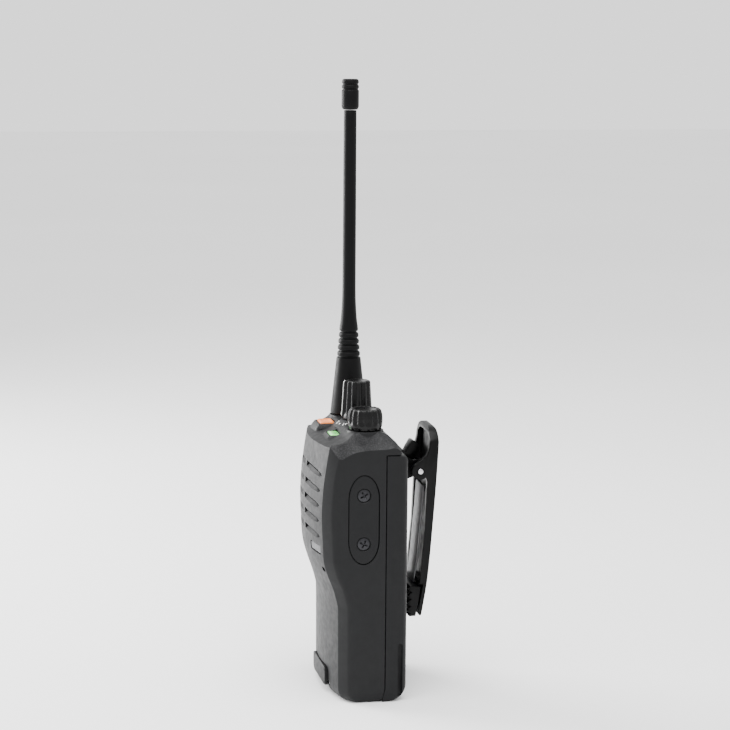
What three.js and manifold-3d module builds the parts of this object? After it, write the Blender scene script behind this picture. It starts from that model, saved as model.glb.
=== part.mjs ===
// A portable two-way radio for first responders, in millimetres.
// +X is the side with the accessory cover, -Y is the speaker side, +Z is up, and z = 0 is the base.
import * as THREE from 'three';
import { mergeVertices } from 'three/addons/utils/BufferGeometryUtils.js';
import Module from 'manifold-3d';

const wasm = await Module();
wasm.setup();

// ---- Driving dimensions -------------------------------------------------------------------------

const HALF_WIDTH = 29; // of the body and the battery
const BODY_TOP = 108;
const WALL = 2; // moulded case
const GAP = 0.3; // running gap between neighbours
const SPLIT_Y = 3; // back of the front case, where the battery starts
const OVERHANG_Z = 99.8; // underside of the top that reaches over the battery

const CHANNEL = { x: 0, y: -2.8, base: 109.5, top: 125, radius: 5.9 };
const VOLUME = { x: 17, y: -3.2, base: 108.3, top: 116.6, radius: 6.6 };
const ANTENNA = { x: -19, y: -3, base: 108.3 };
const SHAFT_RADIUS = 3;

const SPEAKER = { z: 78, radius: 16.4 };
const COVER = { y: -5.75, z: 74.2, halfWidth: 6, halfHeight: 17.7 };
const COVER_SCREW_OFFSET = 9.7;
const PTT = { y: -8, z: 73, halfWidth: 5.5, halfHeight: 11 };
const SIDE_KEY = { y: -8, halfWidth: 4, halfHeight: 3.4, upperZ: 91.5, lowerZ: 55 };
const EMERGENCY = { x: -12, y: -13.6, halfWidth: 4.4, halfDepth: 2.9, top: 106.8 };
const LED = { x: 7.5, y: -14, halfWidth: 4.2, halfDepth: 1.9, top: 105.3 };
const BADGE = { x: 15.8, z: 61, halfWidth: 5.8, halfHeight: 1.5 };

const BATTERY = { front: 3.3, back: 12.2, top: 99.4 };
const TAB_X = 14; // hooks that hold the battery to the chassis
const TAB_TOPS = [30, 84];
const TAB_HEIGHT = 7;
const CONTACT_XS = [-6, 0, 6];
const CONTACT_Z = 17;

const BOSS = { x: 21, zs: [12, 86], radius: 2.4 };
const LATCH = { halfWidth: 13, z: 6.7, halfHeight: 3.9, pinY: -15.8, pinZ: 4.6, pinRadius: 0.8 };
const BOLT = { halfWidth: 6, low: 2.4, high: 4.2 };

const CLIP = { halfWidth: 13, rim: 2.4, pinY: 20.3, pinZ: 89.5, pinRadius: 1.1, earX: 3.9 };

// ---- Materials ----------------------------------------------------------------------------------

function material(color, roughness, metalness = 0) {
  return new THREE.MeshStandardMaterial({ color, roughness, metalness });
}

const CASE_PLASTIC = material(0x2c2d2f, 0.6);
const DARK_PLASTIC = material(0x17181a, 0.5);
const KNOB_PLASTIC = material(0x1b1c1d, 0.35);
const ANTENNA_RUBBER = material(0x232425, 0.7);
const KEY_RUBBER = material(0x1d1e20, 0.8);
const ORANGE = material(0xd9823f, 0.55);
const GREEN = material(0x8fe07f, 0.3);
const STEEL = material(0xc4c6c8, 0.3, 1);
const DARK_STEEL = material(0x5c5d5f, 0.4, 1);
const BRASS = material(0xc9a55b, 0.35, 1);
const ALUMINIUM = material(0x9a9c9e, 0.5, 1);
const BOARD = material(0x1f5a3a, 0.6);
const CELL_WRAP = material(0x35507a, 0.5);
const FELT = material(0x101010, 0.95);

// ---- Solids -------------------------------------------------------------------------------------

// A three.js geometry as a solid that can be joined and cut.
function solid(geometry) {
  const bare = geometry.index ? geometry.toNonIndexed() : geometry.clone();
  bare.deleteAttribute('normal');
  bare.deleteAttribute('uv');
  const merged = mergeVertices(bare, 1e-4);
  return new wasm.Manifold(new wasm.Mesh({
    numProp: 3,
    vertProperties: merged.attributes.position.array,
    triVerts: new Uint32Array(merged.index.array),
  }));
}

function geometryOf(body) {
  const mesh = body.getMesh();
  const geometry = new THREE.BufferGeometry();
  geometry.setAttribute('position', new THREE.BufferAttribute(mesh.vertProperties, 3));
  geometry.setIndex(new THREE.BufferAttribute(mesh.triVerts, 1));
  return geometry;
}

// A box between two corners.
function box(x0, x1, y0, y1, z0, z1) {
  const geometry = new THREE.BoxGeometry(x1 - x0, y1 - y0, z1 - z0);
  return solid(geometry.translate((x0 + x1) / 2, (y0 + y1) / 2, (z0 + z1) / 2));
}

// A box centred on the x = 0 plane.
function centredBox(halfWidth, y0, y1, z0, z1) {
  return box(-halfWidth, halfWidth, y0, y1, z0, z1);
}

// A cylinder or cone along an axis, given by its two end positions on that axis.
function rod(axis, centre, start, end, radius, sides = 20, endRadius = radius) {
  const geometry = new THREE.CylinderGeometry(endRadius, radius, end - start, sides);
  geometry.translate(0, (start + end) / 2, 0);
  if (axis === 'x') geometry.rotateZ(-Math.PI / 2);
  if (axis === 'z') geometry.rotateX(Math.PI / 2);
  const [a, b] = centre;
  if (axis === 'x') geometry.translate(0, a, b);
  if (axis === 'y') geometry.translate(a, 0, b);
  if (axis === 'z') geometry.translate(a, b, 0);
  return solid(geometry);
}

// A turned solid about a vertical axis; the profile is a list of [radius, z].
function turned(x, y, profile, sides = 24) {
  const points = profile.map(([radius, z]) => new THREE.Vector2(radius, z));
  return solid(new THREE.LatheGeometry(points, sides).rotateX(Math.PI / 2).translate(x, y, 0));
}

// A side profile, a list of [y, z], swept along X.
function sideExtrusion(outline, x0, x1) {
  const shape = new THREE.Shape(outline.map(([y, z]) => new THREE.Vector2(y, z)));
  const geometry = new THREE.ExtrudeGeometry(shape, { depth: x1 - x0, bevelEnabled: false });
  geometry.applyMatrix4(new THREE.Matrix4().set(0, 0, 1, x0, 1, 0, 0, 0, 0, 1, 0, 0, 0, 0, 0, 1));
  return solid(geometry);
}

// A plan shape in X and Y, swept along Z.
function planExtrusion(shape, z0, z1, curveSegments = 3) {
  const geometry = new THREE.ExtrudeGeometry(shape, { depth: z1 - z0, bevelEnabled: false, curveSegments });
  return solid(geometry.translate(0, 0, z0));
}

// Points [y, z] on an arc, with its angles in degrees.
function arcPoints(centreY, centreZ, radius, from, to, steps) {
  return Array.from({ length: steps + 1 }, (_, i) => {
    const angle = (from + (to - from) * i / steps) * Math.PI / 180;
    return [centreY + radius * Math.cos(angle), centreZ + radius * Math.sin(angle)];
  });
}

// A rounded rectangle about the origin.
function roundedShape(halfWidth, halfHeight, radius) {
  const shape = new THREE.Shape();
  shape.absarc(halfWidth - radius, halfHeight - radius, radius, 0, Math.PI / 2);
  shape.absarc(radius - halfWidth, halfHeight - radius, radius, Math.PI / 2, Math.PI);
  shape.absarc(radius - halfWidth, radius - halfHeight, radius, Math.PI, 1.5 * Math.PI);
  shape.absarc(halfWidth - radius, radius - halfHeight, radius, 1.5 * Math.PI, 2 * Math.PI);
  shape.closePath();
  return shape;
}

// A plate with round corners that faces along X or Y, from start to end on that axis.
function roundedPlate(axis, centre, halfWidth, halfHeight, radius, start, end) {
  const shape = roundedShape(halfWidth, halfHeight, radius);
  const depth = end - start;
  const geometry = new THREE.ExtrudeGeometry(shape, { depth, bevelEnabled: false, curveSegments: 3 });
  geometry.rotateX(Math.PI / 2);
  if (axis === 'y') geometry.translate(centre[0], end, centre[1]);
  if (axis === 'x') geometry.rotateZ(Math.PI / 2).translate(start, centre[0], centre[1]);
  return solid(geometry);
}

// A closed skin over a stack of outlines that all have the same number of points.
function loft(rings) {
  const count = rings[0].length;
  const positions = rings.flat(2);
  const index = [];
  for (let level = 0; level + 1 < rings.length; level += 1) {
    for (let i = 0; i < count; i += 1) {
      const a = level * count + i;
      const b = level * count + (i + 1) % count;
      index.push(a, b, b + count, a, b + count, a + count);
    }
  }
  for (const [level, up] of [[0, false], [rings.length - 1, true]]) {
    const first = level * count;
    for (let i = 1; i + 1 < count; i += 1) {
      const [a, b] = up ? [first + i, first + i + 1] : [first + i + 1, first + i];
      index.push(first, a, b);
    }
  }
  const geometry = new THREE.BufferGeometry();
  geometry.setAttribute('position', new THREE.Float32BufferAttribute(positions, 3));
  geometry.setIndex(index);
  return solid(geometry);
}

function union(...bodies) {
  return bodies.reduce((whole, body) => whole.add(body));
}

function cut(body, ...tools) {
  return tools.reduce((rest, tool) => rest.subtract(tool), body);
}

// ---- Outer form of the body ---------------------------------------------------------------------

// Levels of the body: height, half width, front at the centre, front at the corner, and back.
const BODY_LEVELS = [
  [0, 27.4, -14.6, -11.5, 9.5],
  [1.6, 28.6, -16.7, -13.7, 9.5],
  [4.5, 29, -17.7, -14.8, 9.5],
  [38, 29, -17.9, -15.1, 9.5],
  [43, 29, -19, -16.2, 9.5],
  [49, 29, -20.9, -18.3, 9.5],
  [55, 29, -22.8, -20.3, 9.5],
  [60, 29, -23.8, -21.2, 9.5],
  [67, 29, -24.2, -21.4, 9.5],
  [78, 29, -24.6, -21.8, 9.5],
  [88, 29, -24.2, -21, 9.5],
  [97, 29, -22.9, -19.4, 9.5],
  [100.6, 28.9, -22.1, -18.5, 9.5],
  [102, 27.7, -21.2, -17.4, 9.1],
  [103, 26.7, -19.2, -15.5, 8.5],
  [104.4, 25.8, -16, -12.8, 7.4],
  [106.2, 25, -12.8, -10.6, 5.4],
  [107.4, 24.4, -11.2, -9.8, 3.8],
  [BODY_TOP, 23.4, -10.2, -9, 1.8],
];
const CORNER_BACK = 3.6; // depth of the corner band behind the front edge
const CORNER_IN = 4.6;
const FRONT_STEPS = 6;

// The outline of the body at one level, moved inwards by inset, seen from above and anticlockwise.
function bodyRing([z, halfWidth, centreFront, cornerFront, back], inset) {
  const side = halfWidth - inset;
  const edge = side - CORNER_IN;
  const height = z < 1 ? inset : Math.min(z, BODY_TOP - inset);
  const ring = [
    [side, cornerFront + CORNER_BACK + inset * 0.6, height],
    [side, back - inset - 1.5, height],
  ];
  ring.push([side - 1.5, back - inset, height]);
  ring.push([1.5 - side, back - inset, height], [-side, back - inset - 1.5, height]);
  ring.push([-side, cornerFront + CORNER_BACK + inset * 0.6, height]);
  for (let i = 0; i <= FRONT_STEPS; i += 1) {
    const across = 2 * i / FRONT_STEPS - 1;
    const front = centreFront + (cornerFront - centreFront) * across * across;
    ring.push([across * edge, front + inset, height]);
  }
  return ring;
}

function bodyHull(inset = 0) {
  const inside = BODY_LEVELS.filter(([z]) => z < 1 || (z > inset + 1 && z < BODY_TOP - inset - 0.2));
  const topLevel = BODY_LEVELS[BODY_LEVELS.length - 1];
  return loft([...inside, topLevel].map((level) => bodyRing(level, inset)));
}

// ---- Radio body ---------------------------------------------------------------------------------

// The oval outline of the accessory cover, in Y and Z: straight sides with elliptical ends.
const COVER_END = 9.5;
function coverPlate(grow, start, end) {
  const halfWidth = COVER.halfWidth + grow;
  const endHeight = COVER_END + grow;
  const straight = COVER.halfHeight - COVER_END;
  const shape = new THREE.Shape();
  shape.absellipse(0, straight, halfWidth, endHeight, 0, Math.PI);
  shape.absellipse(0, -straight, halfWidth, endHeight, Math.PI, 2 * Math.PI);
  const depth = end - start;
  const geometry = new THREE.ExtrudeGeometry(shape, { depth, bevelEnabled: false, curveSegments: 5 });
  const turn = new THREE.Matrix4().set(0, 0, 1, start, 1, 0, 0, COVER.y, 0, 1, 0, COVER.z, 0, 0, 0, 1);
  geometry.applyMatrix4(turn);
  return solid(geometry);
}

// A key that stands in a hole of the left wall, with a retaining flange inside it.
const KEY_FLANGE = 1;
function sideKey(centre, halfWidth, halfHeight, proud, grow = 0) {
  return roundedPlate('x', centre, halfWidth + grow, halfHeight + grow, 1.8, -HALF_WIDTH - proud, -26.6);
}

function withFlange(key, [y, z], halfWidth, halfHeight, flangeHeight) {
  const [front, back] = [y - halfWidth - 0.8, y + halfWidth + 0.8];
  return key.add(box(-26.7, -26.7 + KEY_FLANGE, front, back, z - flangeHeight, z + flangeHeight));
}

function speakerSlots() {
  const slots = [92, 85.7, 79.6, 73.4, 67.1].map((z) => [z, 21.5]);
  return union(...slots.flatMap(([z, reach]) => [
    box(1.6, reach, -28, -17.8, z - 0.65, z + 0.65),
    box(-reach, -1.6, -28, -17.8, z - 0.65, z + 0.65),
  ]));
}

// A shallow plate that follows the front face: everything of the tool between two depths.
function frontLayer(tool, outerInset, innerInset) {
  return cut(tool.intersect(bodyHull(outerInset)), bodyHull(innerInset));
}

const badgeTool = (grow) => box(
  BADGE.x - BADGE.halfWidth - grow, BADGE.x + BADGE.halfWidth + grow, -30, -15,
  BADGE.z - BADGE.halfHeight - grow, BADGE.z + BADGE.halfHeight + grow,
);
const latchTool = (grow) => roundedPlate(
  'y', [0, LATCH.z], LATCH.halfWidth + grow, LATCH.halfHeight + grow, 2.4, -26, -12,
);

function topPads() {
  return union(
    planExtrusion(roundedShape(6, 4.4, 2), 99, 106.2).translate(EMERGENCY.x, EMERGENCY.y, 0),
    planExtrusion(roundedShape(5.6, 3.3, 1.2), 99, 104.9).translate(LED.x, LED.y, 0),
    rod('z', [CHANNEL.x, CHANNEL.y], 106, 109.2, 9.5, 24, 6.4),
    rod('z', [ANTENNA.x, ANTENNA.y], 103, 108, 7.6, 24),
  );
}

function topHoles() {
  return union(
    planExtrusion(roundedShape(EMERGENCY.halfWidth + GAP, EMERGENCY.halfDepth + GAP, 1.3), 90, 112)
      .translate(EMERGENCY.x, EMERGENCY.y, 0),
    planExtrusion(roundedShape(LED.halfWidth + GAP, LED.halfDepth + GAP, 0.8), 103, 112)
      .translate(LED.x, LED.y, 0),
    rod('z', [CHANNEL.x, CHANNEL.y], 100, 112, SHAFT_RADIUS + 0.4, 20),
    rod('z', [VOLUME.x, VOLUME.y], 100, 112, SHAFT_RADIUS + 0.4, 20),
    rod('z', [ANTENNA.x, ANTENNA.y], 95, 112, 5.9, 20),
  );
}

function screwBosses() {
  const bosses = BOSS.zs.flatMap((z) => [-BOSS.x, BOSS.x].map((x) => (
    rod('y', [x, z], -25, -1.6, BOSS.radius, 10)
  )));
  return union(...bosses);
}

function makeFrontCase() {
  const inside = cut(bodyHull(WALL), box(-40, 40, 1, 20, 97.8, 102));
  const shell = cut(bodyHull().add(topPads()), inside, box(-40, 40, SPLIT_Y, 20, -1, OVERHANG_Z));
  const toe = sideExtrusion([[1.6, -0.1], [3.3, -0.1], [3.3, 5.6]], -40, 40);
  const padRoom = planExtrusion(roundedShape(4.6, 3.2, 1), 95, 103).translate(EMERGENCY.x, EMERGENCY.y, 0);
  const bosses = screwBosses().intersect(bodyHull(1));
  const bolts = BOSS.zs.flatMap((z) => [-BOSS.x, BOSS.x].map((x) => rod('y', [x, z], -14, 0, 1.3, 10)));
  const rails = union(box(6.4, 7.6, -12, -1.5, 1.5, 4.4), box(-7.6, -6.4, -12, -1.5, 1.5, 4.4));
  const bulkhead = centredBox(16.5, LATCH.pinY + 0.4, LATCH.pinY + 3.3, 1, 8).intersect(bodyHull(0.5));
  const coverScrews = [-1, 1].map((end) => rod(
    'x', [COVER.y, COVER.z + end * COVER_SCREW_OFFSET], 24, 30, 1.4, 10,
  ));
  return cut(
    union(shell, bosses, rails, bulkhead),
    toe,
    padRoom,
    topHoles(),
    speakerSlots(),
    rod('y', [22, 53.5], -30, -18.5, 0.9, 8),
    cut(badgeTool(GAP), bodyHull(1.2)),
    cut(latchTool(GAP), bodyHull(0.8)),
    rod('x', [LATCH.pinY, LATCH.pinZ], -13.3, 13.3, 2.1, 16),
    centredBox(13.3, -30, LATCH.pinY + 2.05, -1, LATCH.pinZ),
    rod('x', [LATCH.pinY, LATCH.pinZ], -15.3, 15.3, 1.1, 10),
    coverPlate(GAP, 27.6, 31),
    box(26, 29, COVER.y - 3.2, COVER.y + 3.2, COVER.z - 5.2, COVER.z + 5.2),
    sideKey([PTT.y, PTT.z], PTT.halfWidth, PTT.halfHeight, 3, GAP),
    sideKey([SIDE_KEY.y, SIDE_KEY.upperZ], SIDE_KEY.halfWidth, SIDE_KEY.halfHeight, 3, GAP),
    sideKey([SIDE_KEY.y, SIDE_KEY.lowerZ], SIDE_KEY.halfWidth, SIDE_KEY.halfHeight, 3, GAP),
    ...bolts,
    ...coverScrews,
  );
}

// The metal frame behind the case, with keyhole slots that hold the battery's hooks.
function makeChassis() {
  const plate = centredBox(26.6, 0.2, 2.9, 4.7, 97.4);
  const hooks = TAB_TOPS.flatMap((top) => [-TAB_X, TAB_X].flatMap((x) => [
    box(x - 1.3, x + 1.3, 1.5, 3.5, top - TAB_HEIGHT - GAP, top + GAP),
    box(x - 2.8, x + 2.8, 0.6, 2.2, top - TAB_HEIGHT - GAP, top + GAP),
    box(x - 2.8, x + 2.8, 0.6, 3.5, top - TAB_HEIGHT - 8.8, top - TAB_HEIGHT),
  ]));
  const screws = BOSS.zs.flatMap((z) => [-BOSS.x, BOSS.x].flatMap((x) => [
    rod('y', [x, z], 0, 4, 1.3, 10),
    rod('y', [x, z], 1.4, 4, 2.5, 16),
  ]));
  return cut(plate, ...hooks, ...screws, box(-9.3, 9.3, -1, 4, CONTACT_Z - 3.3, CONTACT_Z + 3.3));
}

function makeMainSeal() {
  const outer = roundedPlate('y', [0, 51.05], 26.6, 46.35, 2, -1.3, -0.1);
  return cut(outer, roundedPlate('y', [0, 51.05], 25.3, 45.05, 1, -2, 1));
}

function makeConnector() {
  const block = centredBox(9, -2.6, 2.6, CONTACT_Z - 3, CONTACT_Z + 3);
  return cut(block, ...CONTACT_XS.map((x) => rod('y', [x, CONTACT_Z], -3, 3, 1.3, 12)));
}

function makeMainBoard() {
  const board = centredBox(23.4, -4.4, -3, BOSS.zs[0], BOSS.zs[1]);
  const corners = BOSS.zs.flatMap((z) => [-BOSS.x, BOSS.x].map((x) => rod('y', [x, z], -6, 0, 2.8, 10)));
  return cut(board, ...corners);
}

function makeShield() {
  return cut(centredBox(19, -8.4, -4.7, 30, 56), centredBox(18.4, -7.8, -4, 30.6, 55.4));
}

function makeSpeakerFrame() {
  const bowl = rod('y', [0, SPEAKER.z], -20.5, -14.3, SPEAKER.radius, 28);
  return cut(bowl, rod('y', [0, SPEAKER.z], -21, -15.5, 14.9, 28));
}

function makeSpeakerCone() {
  const cone = rod('y', [0, SPEAKER.z], -20, -16.3, 14.5, 28, 5);
  return cut(cone, rod('y', [0, SPEAKER.z], -20.2, -17, 14, 28, 4.6));
}

function makeAntennaSocket() {
  const centre = [ANTENNA.x, ANTENNA.y];
  return cut(rod('z', centre, 98, 107.8, 5.6, 20), rod('z', centre, 97, 109, 3.6, 20));
}

function makeKey(key, z, proud) {
  const body = sideKey([key.y, z], key.halfWidth, key.halfHeight, proud);
  return withFlange(body, [key.y, z], key.halfWidth, key.halfHeight, key.halfHeight - 0.8);
}

// The strip behind the side keys, with a dome switch under each of them.
function makeSideSwitchBoard() {
  const strip = box(-24.3, -23.7, -12.5, -4.8, 50, 96);
  const domes = [PTT.z, SIDE_KEY.upperZ, SIDE_KEY.lowerZ].map((z) => (
    rod('x', [PTT.y, z], -24.6, -24, 2, 10)
  ));
  return union(strip, ...domes);
}

// A cover screw with a cross recess, driven in from the right.
function makeCoverScrew(end) {
  const z = COVER.z + end * COVER_SCREW_OFFSET;
  const head = rod('x', [COVER.y, z], 28.15, 28.8, 2.5, 20);
  const screw = rod('x', [COVER.y, z], 25.2, 28.3, 1.1, 12).add(head);
  return cut(
    screw,
    box(28.45, 30, COVER.y - 1.5, COVER.y + 1.5, z - 0.28, z + 0.28),
    box(28.45, 30, COVER.y - 0.28, COVER.y + 0.28, z - 1.5, z + 1.5),
  );
}

function makeCover() {
  const plate = coverPlate(0, 27.9, 28.95);
  const holes = [-1, 1].flatMap((end) => {
    const centre = [COVER.y, COVER.z + end * COVER_SCREW_OFFSET];
    return [rod('x', centre, 27, 30, 1.4, 12), rod('x', centre, 28.1, 30, 2.8, 20)];
  });
  return cut(plate, ...holes);
}

function makeChassisScrew(x, z) {
  return rod('y', [x, z], -8, 1.8, 1, 10).add(rod('y', [x, z], 1.6, 2.7, 2.2, 16));
}

// ---- Top controls -------------------------------------------------------------------------------

// The whip's profile: a thin rod, a flare, grooves between rings, and a conical boot.
const GROOVE_PITCH = 2.6;
const GROOVES = Array.from({ length: 5 }, (_, i) => {
  const z = 142.7 - i * GROOVE_PITCH;
  const radius = 3.9 + i * 0.22;
  return [[radius, z + 0.5], [radius - 0.5, z], [radius + 0.1, z - 0.6]];
});
const WHIP = [
  [0, 231.5], [2.55, 231.5], [2.7, 158], [3.05, 151], [3.8, 144], ...GROOVES.flat(),
  [4.9, 131.2], [7.3, 110], [7.3, ANTENNA.base], [0, ANTENNA.base],
];

function makeWhip() {
  const whip = turned(ANTENNA.x, ANTENNA.y, WHIP.toReversed(), 16);
  return cut(whip, rod('z', [ANTENNA.x, ANTENNA.y], 107, 114.5, 3.5, 16));
}

function makeAntennaCap() {
  const profile = [
    [0, 231.8], [2.9, 231.8], [3.5, 232.8], [3.5, 239.6], [3.2, 240], [3.5, 240.4],
    [3.5, 241.4], [3.2, 241.8], [3.5, 242.2], [3.1, 244], [0, 244],
  ];
  return turned(ANTENNA.x, ANTENNA.y, profile, 16);
}

// A turned knob with flutes down its side and a blind bore for its shaft.
function makeKnob(knob, profile, flutes, fluteRadius, fluteBase) {
  const body = turned(knob.x, knob.y, profile, flutes * 2);
  const ring = profile.reduce((widest, [radius]) => Math.max(widest, radius), 0);
  const grooves = Array.from({ length: flutes }, (_, i) => {
    const angle = 2 * Math.PI * (i + 0.5) / flutes;
    const reach = ring + fluteRadius * 0.45;
    const centre = [knob.x + reach * Math.cos(angle), knob.y + reach * Math.sin(angle)];
    return rod('z', centre, fluteBase, knob.top + 1, fluteRadius, 8);
  });
  const bore = rod('z', [knob.x, knob.y], knob.base - 1, knob.top - 4, SHAFT_RADIUS + GAP, 16);
  return cut(body, ...grooves, bore);
}

function makeChannelKnob() {
  const { base, top, radius } = CHANNEL;
  const profile = [[0, base], [radius, base], [4.9, top - 0.6], [4.4, top], [0, top]];
  const knob = makeKnob(CHANNEL, profile, 12, 1, base + 2);
  const ridge = box(CHANNEL.x - 0.7, CHANNEL.x + 0.7, CHANNEL.y - 6.5, CHANNEL.y - 4, base + 1, top - 0.4);
  return knob.add(ridge);
}

function makeVolumeKnob() {
  const { base, top, radius } = VOLUME;
  const profile = [
    [0, base], [6.3, base], [radius + 0.2, base + 3.2], [radius, top - 1.6], [6, top], [0, top],
  ];
  return makeKnob(VOLUME, profile, 14, 0.9, base + 2.6);
}

function makeEmergencyButton() {
  const key = planExtrusion(roundedShape(EMERGENCY.halfWidth, EMERGENCY.halfDepth, 1), 99.6, EMERGENCY.top);
  return key.translate(EMERGENCY.x, EMERGENCY.y, 0);
}

function makeLedWindow() {
  const lens = planExtrusion(roundedShape(LED.halfWidth, LED.halfDepth, 0.6), 103.3, LED.top);
  return lens.translate(LED.x, LED.y, 0);
}

// ---- Latch --------------------------------------------------------------------------------------

function makeLatch() {
  const tab = frontLayer(latchTool(0), -1.3, 0.5);
  const knuckle = rod('x', [LATCH.pinY, LATCH.pinZ], -12.9, 12.9, 1.6, 12);
  return cut(tab.add(knuckle), rod('x', [LATCH.pinY, LATCH.pinZ], -14, 14, 1.1, 10));
}

// ---- Battery ------------------------------------------------------------------------------------

function batteryOutline() {
  const { front, back, top } = BATTERY;
  return [
    [front, 5.4], [1.95, 0],
    ...arcPoints(back - 6.5, 6.5, 6.5, -90, 0, 6),
    ...arcPoints(back - 2.4, top - 2.4, 2.4, 0, 90, 4),
    [front, top],
  ];
}

function batteryPlan() {
  const shape = new THREE.Shape();
  const corner = 3;
  shape.moveTo(-HALF_WIDTH, 0);
  shape.lineTo(HALF_WIDTH, 0);
  shape.absarc(HALF_WIDTH - corner, BATTERY.back - corner, corner, 0, Math.PI / 2);
  shape.absarc(corner - HALF_WIDTH, BATTERY.back - corner, corner, Math.PI / 2, Math.PI);
  return shape;
}

function makeBatteryCase() {
  const block = sideExtrusion(batteryOutline(), -40, 40).intersect(planExtrusion(batteryPlan(), -1, 120));
  const grooves = [-1, 1].map((side) => {
    const x = side * HALF_WIDTH;
    return box(x - 1, x + 1, 8.4, 10.2, 3, 24).add(rod('x', [9.3, 24], x - 1, x + 1, 0.9, 10));
  });
  const screws = [-CLIP_SCREW_X, CLIP_SCREW_X].map((x) => rod('y', [x, CLIP_SCREW_Z], 10, 13, 1.5, 10));
  return cut(
    block,
    centredBox(27.6, 0, 5, 13.5, 98),
    centredBox(27, 4, 10.4, 15, 97.4),
    centredBox(BOLT.halfWidth + 0.6, 0, 6.5, 2, 13.2),
    ...grooves,
    ...screws,
  );
}

function makeBatteryLid() {
  const plate = centredBox(27.3, 3.3, 4.8, 13.8, 97.7);
  const hooks = TAB_TOPS.flatMap((top) => [-TAB_X, TAB_X].flatMap((x) => [
    box(x - 1, x + 1, 1.4, 3.6, top - TAB_HEIGHT, top),
    box(x - 2.5, x + 2.5, 0.9, 1.9, top - TAB_HEIGHT, top),
  ]));
  const windows = CONTACT_XS.map((x) => box(x - 2.1, x + 2.1, 3, 5, CONTACT_Z - 2.1, CONTACT_Z + 2.1));
  return cut(union(plate, ...hooks), ...windows);
}

// ---- Belt clip ----------------------------------------------------------------------------------

const CLIP_SCREW_X = 7.5;
const CLIP_SCREW_Z = 84;
const CLIP_PIVOT = [CLIP.pinY, CLIP.pinZ];

function makeClipBracket() {
  const plate = centredBox(10.3, 12.5, 14.4, 80, 98);
  const ear = [[14, 84], ...arcPoints(CLIP.pinY, CLIP.pinZ, 3.1, -70, 110, 7), [14, 95]];
  const ears = [-1, 1].map((side) => (
    sideExtrusion(ear, side * CLIP.earX - 1.15, side * CLIP.earX + 1.15)
  ));
  const stopOutline = [
    [13, 92], [18, 92.8], [20.3, 93.7], [22.2, 98.3], [19.1, 100.6], [17.1, 97.2], [16.2, 95.4], [13, 95.2],
  ];
  const stop = sideExtrusion(stopOutline, -3, 3);
  const screwHoles = [-CLIP_SCREW_X, CLIP_SCREW_X].flatMap((x) => [
    rod('y', [x, CLIP_SCREW_Z], 12, 15, 1.5, 12),
    rod('y', [x, CLIP_SCREW_Z], 13.2, 15, 2.5, 16),
  ]);
  return cut(union(plate, ...ears, stop), ...screwHoles, rod('x', CLIP_PIVOT, -12, 12, 1.4, 12));
}

function makeClipScrew(x) {
  const shank = rod('y', [x, CLIP_SCREW_Z], 10.7, 13.6, 1.2, 10);
  return shank.add(rod('y', [x, CLIP_SCREW_Z], 13.45, 14.3, 2.2, 16));
}

// The coil around the clip's pin, between one ear of the bracket and the lever.
const SPRING = { x: -7.8, length: 3.6, radius: 2.2, wireRadius: 0.4 };
function makeClipSpring() {
  const turns = 4;
  const steps = turns * 10;
  const points = Array.from({ length: steps + 1 }, (_, i) => {
    const angle = 2 * Math.PI * turns * i / steps;
    const along = SPRING.x + SPRING.length * (i / steps - 0.5);
    return new THREE.Vector3(
      along,
      CLIP.pinY + SPRING.radius * Math.cos(angle),
      CLIP.pinZ + SPRING.radius * Math.sin(angle),
    );
  });
  const wire = SPRING.wireRadius;
  const corners = [[wire, 0], [0, wire], [-wire, 0], [0, -wire]];
  const section = new THREE.Shape(corners.map(([a, b]) => new THREE.Vector2(a, b)));
  const path = new THREE.CatmullRomCurve3(points);
  return solid(new THREE.ExtrudeGeometry(section, { steps, bevelEnabled: false, extrudePath: path }));
}

// Outer face of the clip from its foot up to the thumb press.
const CLIP_BACK = [
  [21.2, 30], [22.1, 35], [23.5, 43.7], [24.7, 55.5], [25.8, 69.6], [26.5, 79], [27.3, 92], [27.8, 104],
];
const CLIP_TOP = 107;
const CLIP_SKIN = 1.6;

function makeClipLever() {
  const press = [
    [27.6, 105.6], [26.8, CLIP_TOP - 0.2], [25.6, CLIP_TOP], [24.6, 106.4],
    [24.4, 105.4], [24.1, 96.4], [22.6, 95],
  ];
  const ear = arcPoints(CLIP.pinY, CLIP.pinZ, 3.4, 120, 310, 7);
  const rim = [[23.1, 82], [22.4, 65], [21.2, 53], [20.4, 42], [20.4, 30]];
  const side = sideExtrusion([...CLIP_BACK, ...press, ...ear, ...rim], -CLIP.halfWidth, CLIP.halfWidth)
    .intersect(roundedPlate('y', [0, CLIP_TOP / 2], CLIP.halfWidth, CLIP_TOP / 2, 7, 10, 30));
  const floor = CLIP_BACK.map(([y, z]) => [y - CLIP_SKIN, z]);
  floor[0] = [floor[0][0] - 0.5, 28];
  const inner = [[10, 28], ...floor, [26, CLIP_TOP - 2.2], [10, CLIP_TOP - 2.2]];
  const channel = sideExtrusion(inner, CLIP.rim - CLIP.halfWidth, CLIP.halfWidth - CLIP.rim);
  const footRoom = sideExtrusion([[10, 28], floor[0], floor[1], [21.7, 42.4], [10, 42.4]], -20, 20);
  const ribs = union(box(-11, 11, 20.5, 22.5, 42.6, 44.6), box(-11, 11, 23.9, 25.6, 79, 81));
  return cut(side, channel, footRoom).add(ribs).subtract(rod('x', CLIP_PIVOT, -20, 20, 1.4, 12));
}

function makeClipLeaf() {
  const front = [[19.5, 42.6], [21.5, 62], [23.2, 82.2]];
  const back = front.map(([y, z]) => [y + 0.6, z]).reverse();
  return sideExtrusion([...front, ...back].reverse(), -6.5, 6.5);
}

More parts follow.
